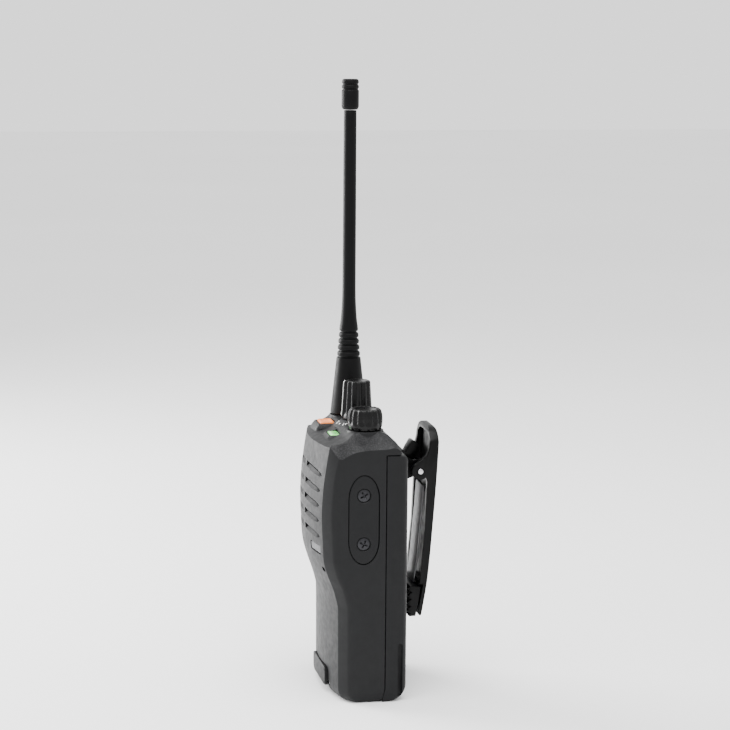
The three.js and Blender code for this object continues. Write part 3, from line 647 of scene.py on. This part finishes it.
def inner_room():
    """The space inside the case: open at the back, with a raised ceiling under the controls."""
    heights = [WALL, 6, 20, 38, 46, 52, 60, 68, 80, 90, 97.5]
    rings = []
    for z in heights:
        outline = body_outline(z, WALL, 16)
        rings.append([(x, y if y < 0 else min(y, 5), z) for x, y in outline])
    room = loft("inner_room", rings)
    return [room, block("ceiling_room", (-23, -9.6, 97), (23, 0.9, 105.6)),
            block("key_room", (-17, -17, 97), (-7.5, -10, 102))]


# Height of each slot at its outer end, and how much higher it is at the centre.
SLOTS = [(91.2, 1.6), (85.0, 1.3), (79.1, 0.9), (73.0, 0.8), (66.7, 0.8)]
SLOT_REACH = 21.6


def front(x, z):
    """How far forward the front face is."""
    return CENTRE_FRONT(z) + (CORNER_FRONT(z) - CENTRE_FRONT(z)) * (x / CORNER_X) ** 2


def slot_cutter(name, z, arch, sign):
    """A louvre: a slit under a sharp brow, flared downwards at the surface and narrower outwards."""
    rings = []
    steps = 14
    for i in range(steps + 1):
        t = i / steps
        x = mix(1.6, SLOT_REACH, t)
        face = front(x, z)
        rise = arch * (1 - (x / SLOT_REACH) ** 2)
        open_up = 0.9 * math.sqrt(1 - t ** 9) + 0.05
        open_down = math.sqrt(1 - t ** 5) + 0.03
        section = [
            (face + 4, 0.4 * open_up), (face + 0.9, 0.5 * open_up), (face - 0.6, 0.8 * open_up),
            (face - 0.6, -2.1 * open_down), (face + 0.25, -1.5 * open_down),
            (face + 1.1, -0.65 * open_down), (face + 4, -0.6 * open_down),
        ]
        rings.append([(sign * x, y, z + rise + dz) for y, dz in section])
    return loft(name, rings)


def grille_cutters():
    cutters = [slot_cutter("slot", z, arch, sign) for z, arch in SLOTS for sign in (-1, 1)]
    return merged("slots", cutters)


def oval(grow):
    """The accessory cover's outline in Y and Z, larger all round by grow."""
    half_width = COVER["half_width"] + grow
    end = COVER["end"] + grow
    straight = COVER["half_height"] - COVER["end"]
    points = []
    for side in (1, -1):
        for i in range(25):
            angle = math.radians(180 * i / 24)
            points.append((COVER["y"] + side * half_width * math.cos(angle),
                           COVER["z"] + side * (straight + end * math.sin(angle))))
    return points


def moved(outline, x, y):
    return [(a + x, b + y) for a, b in outline]


def pad(name, centre, half_width, half_depth, top, spread):
    """A raised pad on the top that spreads towards its foot."""
    rings = []
    levels = ((100, spread + 1.2, 2.4), (top - 1.6, spread, 2.2), (top - 0.25, 0.25, 1.3), (top, 0, 1.2))
    for z, grow, radius in levels:
        outline = rounded_rectangle(half_width + grow, half_depth + grow, radius)
        rings.append([(x, y, z) for x, y in moved(outline, *centre)])
    return loft(name, rings)


def top_features():
    """What stands up from the top: two pads, the dial's sloping collar and the antenna's seat."""
    dial = [(8.6, 105), (9.6, 106.4), (6.7, 109.05), (6.4, 109.2), (0, 109.2), (0, 105)]
    seat = [(7.9, 102), (7.9, 107.4), (7.6, 108), (0, 108), (0, 102)]
    ring = [(7.3, 105), (7.3, 107.8), (7.1, 108.1), (0, 108.1), (0, 105)]
    return [
        pad("emergency_pad", EMERGENCY["at"], 5.3, 3.8, 106.2, 1.3),
        pad("lamp_pad", LAMP["at"], 5.0, 2.7, 105.0, 1.5),
        turned("dial_collar", CHANNEL["at"], dial),
        turned("antenna_seat", ANTENNA_AT, seat),
        turned("volume_seat", VOLUME["at"], ring),
    ]


def side_hole(name, centre, half_width, half_height):
    """A hole for a key through the left wall."""
    gap = 0.3
    outline = moved(rounded_rectangle(half_width + gap, half_height + gap, 1.9), *centre)
    return prism(name, outline, "x", -31, -26)


def shrunk(outline, centre, x_share, z_share):
    cx, cz = centre
    return [(cx + (x - cx) * x_share, cz + (z - cz) * z_share) for x, z in outline]


def front_patch(name, low, high, depth, radius, grow=0.0):
    """A slab along the front face between two corners (x, z), sunk by depth = (outer, inner)."""
    half_width, half_height = (high[0] - low[0]) / 2 + grow, (high[1] - low[1]) / 2 + grow
    centre = ((low[0] + high[0]) / 2, (low[1] + high[1]) / 2)
    outline = moved(rounded_rectangle(half_width, half_height, radius), *centre)
    rings = []
    bevel = 0.25
    for inset, sink in ((0, depth[1]), (0, depth[0] + bevel), (bevel, depth[0])):
        ring = shrunk(outline, centre, 1 - inset / half_width, 1 - inset / half_height)
        rings.append([(x, front(x, z) + sink, z) for x, z in ring])
    steps = 8
    for k in range(1, steps):
        ring = shrunk(outline, centre, 1 - k / steps, 1 - k / steps)
        rings.append([(x, front(x, z) + depth[0], z) for x, z in ring])
    return loft(name, rings)


def cover_screw_centre(end):
    return COVER["y"], COVER["z"] + end * COVER_SCREW_OFFSET


def make_body():
    body = body_solid()
    add(body, *top_features())
    toe_side = [(1.6, -1), (1.6, 0), (2.2, 1.2), (SPLIT_Y, 5.4), (4, 5.4), (4, -1)]
    toe = prism("toe", toe_side, "x", -40, 40)
    holes = [
        prism("key_hole", moved(rounded_rectangle(4.7, 3.2, 1.3), *EMERGENCY["at"]), "z", 98, 110),
        prism("lamp_hole", moved(rounded_rectangle(4.5, 2.2, 0.8), *LAMP["at"]), "z", 103, 110),
        cylinder("channel_hole", "z", CHANNEL["at"], 100, 112, 3.4),
        cylinder("volume_hole", "z", VOLUME["at"], 100, 112, 3.4),
        cylinder("antenna_hole", "z", ANTENNA_AT, 95, 112, 5.9),
    ]
    side = [
        prism("cover_recess", oval(0.3), "x", 27.6, 31),
        *[cylinder("screw_hole", "x", cover_screw_centre(end), 24, 27.4, 1.4, 24) for end in (-1, 1)],
        *[side_hole(f"{key}_hole", *size) for key, size in KEYS.items()],
    ]
    mouth = loft("microphone_hole", [
        [(x, y, z) for x, z in moved(rounded_rectangle(1.5 + g, 0.9 + g, 0.8 + g, 4), *MICROPHONE_AT)]
        for y, g in ((-24, 0.9), (-21.3, 0.25), (-20.7, 0), (-17, 0))
    ])
    fronts = [
        grille_cutters(),
        mouth,
        front_patch("badge_recess", *BADGE_CORNERS, (-3, 0.95), 0.6, grow=0.25),
        front_patch("latch_recess", *LATCH_CORNERS, (-3, 0.8), 2.6, grow=0.3),
        block("latch_notch", (-13.3, -30, -1), (13.3, LATCH_PIN[0] + 2.05, LATCH_PIN[1])),
        cylinder("latch_bore", "x", LATCH_PIN, -13.3, 13.3, 2.1),
        cylinder("pin_hole", "x", LATCH_PIN, -15.3, 15.3, 1.1, 24),
    ]
    cut(body, block("battery_room", (-40, SPLIT_Y, -1), (40, 20, OVERHANG_Z)), toe)
    cut(body, *inner_room())
    add(body, block("bulkhead", (-16, LATCH_PIN[0] + 1, 1), (16, LATCH_PIN[0] + 3.3, 8)))
    cut(body, merged("holes", holes), merged("side", side), *fronts)
    return dress(body, "radio", CASE, ["front_case"], 40)


def side_rings(levels, outline):
    """Rings across X, one for each (x, size), with outline(size) in Y and Z."""
    return [[(x, *p) for p in outline(size)] for x, size in levels]


def make_cover():
    """The oval plate, slightly crowned, with counterbores for its screws."""
    crown = [(27.9, 0), (28.65, 0), (28.82, -0.08), (28.92, -0.25), (28.95, -0.6), (28.95, -3),
             (28.95, -5.2)]
    cover = loft("accessory_plate", side_rings(crown, oval))
    well = [(28.05, 2.75), (28.75, 2.75), (28.9, 2.9), (29.4, 3.4)]
    centres = [cover_screw_centre(end) for end in (-1, 1)]
    wells = [loft("well", side_rings(well, lambda r: circle(centre, r))) for centre in centres]
    cut(cover, merged("wells", wells))
    for centre in centres:
        cut(cover, cylinder("bore", "x", centre, 27, 28.5, 1.4, 24))
    return dress(cover, "radio", COVER_PLASTIC, ["accessory_cover"])


def make_cover_screw(name, end, turn, node):
    """A domed screw head with a cross recess that narrows as it deepens."""
    y, z = cover_screw_centre(end)
    profile = [(25.2, 0.6), (25.6, 1.1), (28.1, 1.1), (28.1, 2.4), (28.3, 2.5), (28.55, 2.45),
               (28.72, 2.1), (28.8, 1.5), (28.84, 0.7)]
    screw = loft(name, side_rings(profile, lambda r: circle((y, z), r)))
    for quarter in (0, 90):
        angle = math.radians(turn + quarter)
        across, up = math.cos(angle), math.sin(angle)
        rings = []
        for x, reach, half in ((28.1, 0.9, 0.16), (28.5, 1.45, 0.26), (28.9, 1.75, 0.36)):
            corners = [(-reach, -half), (reach, -half), (reach, half), (-reach, half)]
            rings.append([(x, y + a * across - b * up, z + a * up + b * across) for a, b in corners])
        cut(screw, loft("cross", rings))
    return dress(screw, "radio", DARK_STEEL, [node], 30)


def make_badge():
    badge = front_patch("name_plate", *BADGE_CORNERS, (0.2, 0.85), 0.5)
    return dress(badge, "radio", BADGE_PLASTIC, ["model_badge"])


def make_lamp():
    rings = []
    for z, grow in ((103.3, 0), (104.9, 0), (105.2, -0.15), (105.28, -0.45), (105.3, -1)):
        outline = rounded_rectangle(LAMP["half_width"] + grow, LAMP["half_depth"] + grow, 0.7)
        rings.append([(x, y, z) for x, y in moved(outline, *LAMP["at"])])
    return dress(loft("lamp_lens", rings), "radio", LENS, ["led_window"])


def text_solid(name, text, size, matrix):
    """Raised print, 0.06 mm thick, laid on a plane by a matrix in millimetres."""
    curve = bpy.data.curves.new(name, "FONT")
    curve.body = text
    curve.size = size
    curve.extrude = 0.03
    curve.align_x = "CENTER"
    curve.align_y = "CENTER"
    curve.resolution_u = 3
    shown = linked(name, curve)
    graph = bpy.context.evaluated_depsgraph_get()
    mesh = bpy.data.meshes.new_from_object(shown.evaluated_get(graph))
    mesh.transform(matrix)
    mesh.transform(Matrix.Scale(MM, 4))
    bpy.data.objects.remove(shown)
    return linked(name, mesh)


CHANNELS = 16
DIAL_STEP = 22.5  # degrees between channels
DIAL_START = -75.0


def make_dial_marks():
    """Figures with a dot between each two, printed on the collar's slope."""
    pieces = []
    slope = math.atan2(2.65, 2.9)
    reach, height, lift = 8.12, 107.76, 0.04
    for i in range(CHANNELS):
        angle = math.radians(DIAL_START + DIAL_STEP * i)
        outward = Vector((math.cos(angle), math.sin(angle), 0))
        across = Vector((-math.sin(angle), math.cos(angle), 0))
        normal = outward * math.sin(slope) + Vector((0, 0, 1)) * math.cos(slope)
        up = normal.cross(across)
        middle = Vector((*CHANNEL["at"], height)) + outward * reach + normal * lift
        matrix = Matrix.Translation(middle) @ Matrix((across, up, normal)).transposed().to_4x4()
        figure, size = ("15" if i == 1 else str(i), 2.5) if i % 2 else ("\u2022", 2.6)
        pieces.append(text_solid("mark", figure, size, matrix))
    return dress(merged("dial_marks", pieces), "radio", WHITE)


# ---- Antenna and knobs ----

def antenna_profile():
    """The whip from its foot up: cone, rings with grooves between them, flare and rod."""
    profile = [(0, 108.3), (3.5, 108.3), (7.0, 108.3), (7.25, 108.6), (7.3, 109.2), (4.95, 131.0),
               (4.85, 131.4)]
    ring = [(-0.1, -1.15), (-0.55, -0.95), (-0.6, -0.55), (-0.1, -0.35), (0, -0.1), (0, 0.75),
            (-0.1, 1.0)]
    for i in reversed(range(5)):
        z = 142.7 - 2.55 * i
        radius = 3.82 + 0.21 * i
        profile += [(radius + grow, z + rise) for grow, rise in ring]
    profile += [(3.72, 144.3), (3.55, 145), (3.25, 147.5), (3.0, 151), (2.8, 155), (2.7, 160),
                (2.65, 190), (2.58, 228), (2.55, 231.3), (2.4, 231.5), (0, 231.5)]
    return profile


def make_antenna():
    whip = turned("antenna_rod", ANTENNA_AT, antenna_profile(), 72)
    cut(whip, cylinder("plug_bore", "z", ANTENNA_AT, 107, 114.5, 3.5))
    dress(whip, "antenna", ANTENNA_RUBBER, ["antenna_whip"])
    cap = turned("antenna_tip", ANTENNA_AT, [
        (0, 231.8), (2.8, 231.8), (3.2, 232.2), (3.5, 233.0), (3.5, 239.3), (3.42, 239.5), (3.15, 239.7),
        (3.15, 240.2), (3.42, 240.4), (3.48, 240.5), (3.48, 241.2), (3.4, 241.4), (3.12, 241.6),
        (3.12, 242.1), (3.38, 242.3), (3.44, 242.5), (3.4, 243.2), (3.15, 243.75), (2.7, 243.97),
        (0, 244),
    ], 72)
    dress(cap, "antenna", ANTENNA_RUBBER, ["antenna_cap"])


def dense(profile, step):
    """A profile with extra points along its long stretches."""
    points = [profile[0]]
    for a, b in zip(profile, profile[1:]):
        count = max(1, round(math.dist(a, b) / step))
        shares = [k / count for k in range(1, count + 1)]
        points += [(mix(a[0], b[0], share), mix(a[1], b[1], share)) for share in shares]
    return points


def make_channel_knob():
    """A tall tapered knob: deep flutes, a domed rim, and a raised ridge with a white line."""
    base, top = CHANNEL["base"], CHANNEL["top"]
    flutes = 12

    def shape(angle, radius, z):
        if radius < 3.6:
            return radius
        height = (z - base) / (top - base)
        flute = (0.5 + 0.5 * math.cos(flutes * (angle - math.radians(POINTER_ANGLE)))) ** 0.7
        deep = 0.75 * clamp((height - 0.12) / 0.1) * (radius / 5.5)
        away = abs((math.degrees(angle) - POINTER_ANGLE + 180) % 360 - 180)
        ridge = 0.75 * max(0.0, 1 - (away / 10) ** 4) * clamp(height / 0.08)
        return radius - deep * (1 - flute) * (0 if away < 12 else 1) + ridge * min(1, radius / 4)

    profile = dense([
        (0, base), (4, base), (5.75, base), (5.95, base + 0.25), (5.95, base + 1.4), (5.75, base + 1.9),
        (5.0, top - 1.0), (4.85, top - 0.45), (4.5, top - 0.12), (4.0, top), (2.6, top - 0.1),
        (0, top - 0.1),
    ], 0.4)
    knob = turned("channel_dial", CHANNEL["at"], profile, 240, shape)
    cut(knob, cylinder("bore", "z", CHANNEL["at"], base - 1, top - 4, 3.3))
    dress(knob, "channel_selector", KNOB, ["channel_knob"], 45)
    dress(pointer_line(base, top), "channel_selector", WHITE)


def pointer_line(base, top):
    """The white line up the ridge and over the rim."""
    angle = math.radians(POINTER_ANGLE)
    outward = Vector((math.cos(angle), math.sin(angle), 0))
    across = Vector((-math.sin(angle), math.cos(angle), 0))
    centre = Vector((*CHANNEL["at"], 0))
    path = [(6.55, base + 1.0), (6.72, base + 1.9), (6.4, base + 3.0), (5.78, top - 1.1),
            (5.62, top - 0.5), (5.2, top - 0.1)]
    section = [(-0.3, -0.35), (0.3, -0.35), (0.3, 0.08), (-0.3, 0.08)]
    rings = []
    for reach, z in path:
        middle = centre + outward * reach
        rings.append([tuple(middle + across * a + outward * b + Vector((0, 0, z))) for a, b in section])
    return loft("pointer_line", rings)


def make_volume_knob():
    """A barrel knob: flutes on its upper part with a scalloped rim, and small notches at its foot."""
    base, top = VOLUME["base"], VOLUME["top"]

    def shape(angle, radius, z):
        height = (z - base) / (top - base)
        if radius < 3.5:
            return radius
        flute = abs(math.cos(8 * angle)) ** 1.6
        deep = 0.62 * clamp((height - 0.24) / 0.16) * min(1, radius / 6)
        notch = 0.5 if height < 0.09 and math.cos(12 * angle) > 0.72 and radius > 5.8 else 0
        return radius - deep * flute - notch

    profile = dense([
        (0, base), (4, base), (6.2, base), (6.35, base + 0.15), (6.45, base + 0.7), (6.62, base + 1.2),
        (6.8, base + 2.2), (6.87, base + 3.4), (6.84, base + 4.8), (6.7, base + 6.2), (6.45, top - 1.2),
        (6.2, top - 0.55), (5.8, top - 0.15), (5.3, top), (4.9, top - 0.2), (0, top - 0.25),
    ], 0.3)
    knob = turned("volume_dial", VOLUME["at"], profile, 256, shape)
    cut(knob, cylinder("bore", "z", VOLUME["at"], base - 1, top - 4, 3.3))
    dress(knob, "volume_selector", KNOB, ["volume_knob"], 45)


# ---- Keys and latch ----

def make_emergency_key():
    """The orange key: a rounded cap with a shallow dish and a fine raised border."""
    levels = [(99.6, 0), (106.2, 0), (106.5, -0.08), (106.72, -0.3), (106.8, -0.7), (106.78, -1.0),
              (106.55, -1.3), (106.5, -2.0)]
    rings = []
    for z, grow in levels:
        half_width, half_depth = EMERGENCY["half_width"] + grow, EMERGENCY["half_depth"] + grow
        outline = rounded_rectangle(half_width, half_depth, max(0.4, 1.0 + grow * 0.4))
        rings.append([(x, y, z) for x, y in moved(outline, *EMERGENCY["at"])])
    key = loft("emergency_cap", rings)
    return dress(key, "emergency_key", ORANGE, ["emergency_button"])


def make_side_key(name, body, node, size, proud, ribs):
    """A rubber key on the left wall: crowned, with raised ribs for the thumb, and a flange inside."""
    (y, z), half_width, half_height = size

    def outline(grow):
        return moved(rounded_rectangle(half_width + grow, half_height + grow, 1.8), y, z)

    wall = -28.9
    levels = [(-26.4, 0), (wall - proud * 0.55, 0), (wall - proud * 0.85, -0.35), (-28.98 - proud, -1.0)]
    key = loft(name, side_rings(levels, outline))
    flange = moved(rounded_rectangle(half_width + 0.8, half_height - 0.8, 0.8), y, z)
    add(key, prism("flange", flange, "x", -26.7, -25.7))
    reach = half_width * 0.6
    for offset in ribs:
        low = (-28.95 - proud - 0.3, y - reach, z + offset - 0.35)
        add(key, block("rib", low, (wall - proud + 0.6, y + reach, z + offset + 0.35)))
    soften(key, 0.12, 2, 50)
    return dress(key, body, RUBBER, [node])


def make_latch():
    """The tab at the foot of the front, with its hinge knuckle."""
    tab = front_patch("latch_tab", *LATCH_CORNERS, (-1.25, 0.5), 2.4)
    add(tab, cylinder("knuckle", "x", LATCH_PIN, -12.9, 12.9, 1.55))
    cut(tab, cylinder("pin_bore", "x", LATCH_PIN, -14, 14, 1.1))
    soften(tab, 0.35, 3, 50)
    return dress(tab, "latch", LATCH_PLASTIC, ["battery_latch"])


# ---- Battery ----

def battery_section(z):
    """The battery's plan outline at a height, with round back edges at its foot and head."""
    front_y, back = BATTERY["front"], BATTERY["back"]
    low, high = z, BATTERY["top"] - z
    for radius, distance in ((6.5, low), (2.4, high)):
        if distance < radius:
            back -= radius - math.sqrt(radius ** 2 - (radius - distance) ** 2)
    toe = 5.4
    if low < toe:
        front_y = mix(2.15, front_y, (low / toe) ** 1.4)
    side = HALF_WIDTH - 0.35 * max(0, 1 - low / 0.5) - 0.35 * max(0, 1 - high / 0.5)
    round_back = min(3.0, back - front_y - 0.8)
    right = [(side, front_y, 0.3), (side, back, round_back)]
    left = [(-x, y, r) for x, y, r in reversed(right)]
    return filleted([*right, *left], 8)


def battery_heights():
    ends = [0, 0.12, 0.3, 0.6, 1, 1.5, 2.2, 3, 3.8, 4.6, 5.4, 6, 6.5]
    middle = [6.5 + 4.2 * i for i in range(1, 22)]
    top = [96.8, 97.2, 97.6, 98.1, 98.5, 98.8, 99.05, 99.25, 99.35, BATTERY["top"]]
    return [z for z in ends + middle if z < 96.5] + top


def side_groove(sign):
    """A finger groove that starts low on each side and ends in a round top."""
    outline = [(8.35, 2.2)] + arc((9.3, 22.6), 0.95, 180, 0, 10) + [(10.25, 2.2)]
    sunk, clear = 1.6, 0.6
    return prism("groove", outline, "x", sign * (HALF_WIDTH - sunk), sign * (HALF_WIDTH + clear))


def clip_screw_holes(end):
    across, height = CLIP_SCREW
    holes = [cylinder("hole", "y", (x, height), 10, end, 1.5, 24) for x in (-across, across)]
    return merged("holes", holes)


def make_battery():
    rings = [[(x, y, z) for x, y in battery_section(z)] for z in battery_heights()]
    case = loft("battery_shell", rings)
    cavities = [
        block("lid_room", (-27.6, 0, 13.5), (27.6, 5, 98)),
        block("cell_room", (-27, 4, 15), (27, 10.4, 97.4)),
        block("bolt_room", (-6.6, -1, 2), (6.6, 6.5, 13.2)),
    ]
    cut(case, *cavities, side_groove(1), side_groove(-1), clip_screw_holes(13))
    soften(case, 0.18, 2, 50)
    return dress(case, "battery", BATTERY_PLASTIC, ["battery_case"], 40)


# ---- Belt clip ----

def make_bracket():
    """The bracket on the battery: a base plate, two ears for the pin and a sloping stop block."""
    base = filleted([(12.5, 80, 0.3), (14.4, 80, 0.8), (14.4, 98, 0.8), (12.5, 98, 0.3)], 3)
    plate = prism("bracket_plate", base, "x", -10.3, 10.3)
    ear = [(14, 84)] + arc(PIVOT, 3.1, -70, 110, 24) + [(14, 95)]
    ears = [prism("ear", ear, "x", x - 1.15, x + 1.15) for x in (-EAR_X, EAR_X)]
    stop_side = filleted([
        (13, 92, 0.2), (18, 92.8, 0.5), (20.3, 93.7, 0.6), (22.2, 98.3, 0.7), (19.1, 100.6, 0.9),
        (17.1, 97.2, 0.5), (16.2, 95.4, 0.4), (13, 95.2, 0.2),
    ], 4)
    add(plate, *ears, prism("stop", stop_side, "x", -3, 3))
    cut(plate, cylinder("pin_bore", "x", PIVOT, -12, 12, 1.4, 32), clip_screw_holes(16))
    soften(plate, 0.25, 2, 45)
    return dress(plate, "battery", CLIP_PLASTIC, ["clip_bracket"], 40)


LEVER_BACK = SmoothTable([
    (30, 21.2), (35, 22.1), (43.7, 23.5), (55.5, 24.7), (69.6, 25.8), (79, 26.5), (92, 27.3),
    (104, 27.8), (106, 27.75),
])


def lever_side_outline():
    """The lever seen from the side: foot, rim, pivot lobe, throat and the flat press pad on top."""
    back = [(LEVER_BACK(z), z) for z in [30.6 + 3.2 * i for i in range(23)]]
    top = [(27.75, 104.2), (27.6, 105.6), (27.3, 106.3), (26.8, 106.8), (26.2, CLIP_TOP),
           (25.6, CLIP_TOP), (25.0, 106.8), (24.6, 106.3), (24.4, 105.4), (24.4, 102.2), (24.2, 99.6),
           (23.7, 97.4), (22.9, 95.6)]
    lobe = arc(PIVOT, 3.4, 118, 310, 20)
    rim = [(23.2, 85.2), (23.1, 82), (22.4, 65), (21.3, 53), (20.5, 42), (20.4, 34), (20.3, 30.5)]
    return [(20.9, 30.2), *back, *top, *lobe, *rim]


def crown_cutter(side, lower=0.0):
    """What lies above an arch over one half of the press pad, from front to back."""
    drop = 5.5
    top = CLIP_TOP - lower
    shares = [i / 16 for i in range(18)]
    arch = [(side * CLIP_HALF_WIDTH * share, top - drop * share ** 3.5) for share in shares]
    outline = arch + [(side * 14.5, 112), (0, 112)]
    return prism("crown", outline, "y", 5, 30)


def lever_room():
    """The open inside of the lever, between its rims and under its arched top."""
    skin, rim, crown = 1.6, 2.4, 2.4
    edge = [(LEVER_BACK(z) - skin, z) for z in [43.0 + 3.4 * i for i in range(18)]]
    inside = [(10, 43)] + edge + [(26.1, 103.4), (25.7, 104.2), (23.0, 104.6), (10, 104.6)]
    room = prism("channel", inside, "x", rim - CLIP_HALF_WIDTH, CLIP_HALF_WIDTH - rim)
    return cut(room, crown_cutter(1, crown), crown_cutter(-1, crown))


def make_lever():
    lever = prism("clip_arm", lever_side_outline(), "x", -CLIP_HALF_WIDTH, CLIP_HALF_WIDTH)
    foot_side = [(10, 28), (19.6, 28), (20.6, 35), (21.9, 42.4), (21.9, 43.4), (10, 43.4)]
    foot_room = prism("foot_room", foot_side, "x", -14, 14)
    cut(lever, lever_room(), foot_room, crown_cutter(1), crown_cutter(-1))
    add(lever, block("lower_rib", (-11, 20.6, 42.6), (11, 22.6, 44.6)))
    add(lever, block("upper_rib", (-11, 23.9, 79), (11, 25.6, 81)))
    cut(lever, cylinder("pin_bore", "x", PIVOT, -14, 14, 1.1, 32))
    soften(lever, 0.4, 3, 40)
    return dress(lever, "clip", CLIP_PLASTIC, ["clip_lever"], 42)


def make_leaf():
    """The spring leaf inside the lever."""
    line = [(19.5, 42.6), (20.3, 48), (21.0, 54), (21.6, 62), (22.4, 71), (23.2, 82.2)]
    outline = [(y - 0.3, z) for y, z in line] + [(y + 0.3, z) for y, z in reversed(line)]
    leaf = prism("leaf_band", outline, "x", -6.5, 6.5)
    soften(leaf, 0.12, 2, 50)
    return dress(leaf, "clip", SPRING_STEEL, ["clip_leaf"], 40)


def make_grip_pad():
    """The toothed rubber foot that grips the belt."""
    teeth = []
    for z in (41.2, 38.4, 35.4, 32.4):
        depth = 16.6 - (41.2 - z) * 0.07
        tooth = [(0, 0.9), (-0.25, -0.2), (0.1, -1.0), (1.1, -1.25)]
        teeth += [(depth + out, z + rise) for out, rise in tooth]
    foot = [(16.0, 30.4), (16.4, 30.0), (19.0, 30.0), (20.0, 35.0), (21.0, 42.0)]
    outline = [(16.7, 42.5), *teeth, *foot]
    grip = prism("grip_foot", outline, "x", -12.7, 12.7)
    soften(grip, 0.15, 2, 45)
    return dress(grip, "clip", CLIP_PLASTIC, ["clip_grip_pad"], 40)


def make_clip_pin():
    pin = cylinder("hinge_pin", "x", PIVOT, -13.55, 13.55, 1.08, 40)
    soften(pin, 0.2, 3, 50)
    return dress(pin, "battery", STEEL, ["clip_pin"], 40)


# ---- Everything together ----

make_body()
make_cover()
make_cover_screw("upper_cover_screw", 1, 30, "accessory_screw_upper")
make_cover_screw("lower_cover_screw", -1, 65, "accessory_screw_lower")
make_badge()
make_lamp()
make_dial_marks()
make_antenna()
make_channel_knob()
make_volume_knob()
make_emergency_key()
make_side_key("ptt_cap", "ptt_key", "ptt_button", KEYS["ptt"], 1.0, [2.2 * k for k in range(-3, 4)])
make_side_key("upper_key_cap", "upper_key", "upper_side_key", KEYS["upper"], 0.6, [0])
make_side_key("lower_key_cap", "lower_key", "lower_side_key", KEYS["lower"], 0.6, [-0.9, 0.9])
make_latch()
make_battery()
make_bracket()
make_lever()
make_leaf()
make_grip_pad()
make_clip_pin()

SLOT_MATERIALS = {
    "case_plastic": CASE, "dark_plastic": DARK, "knob_plastic": KNOB, "antenna_rubber": ANTENNA_RUBBER,
    "key_rubber": RUBBER, "orange_plastic": ORANGE, "green_lens": LENS, "bright_steel": STEEL,
    "dark_steel": DARK_STEEL, "contact_brass": BRASS, "cast_aluminium": ALUMINIUM, "circuit_board": BOARD,
    "cell_wrap": CELL_WRAP, "felt": FELT,
}


def dress_carried_parts():
    """The CAD parts that are shown as they are take the same materials by their slot."""
    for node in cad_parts.values():
        slot = node.material_slots[0].material.name.split(".")[0]
        node.material_slots[0].material = SLOT_MATERIALS[slot]


dress_carried_parts()
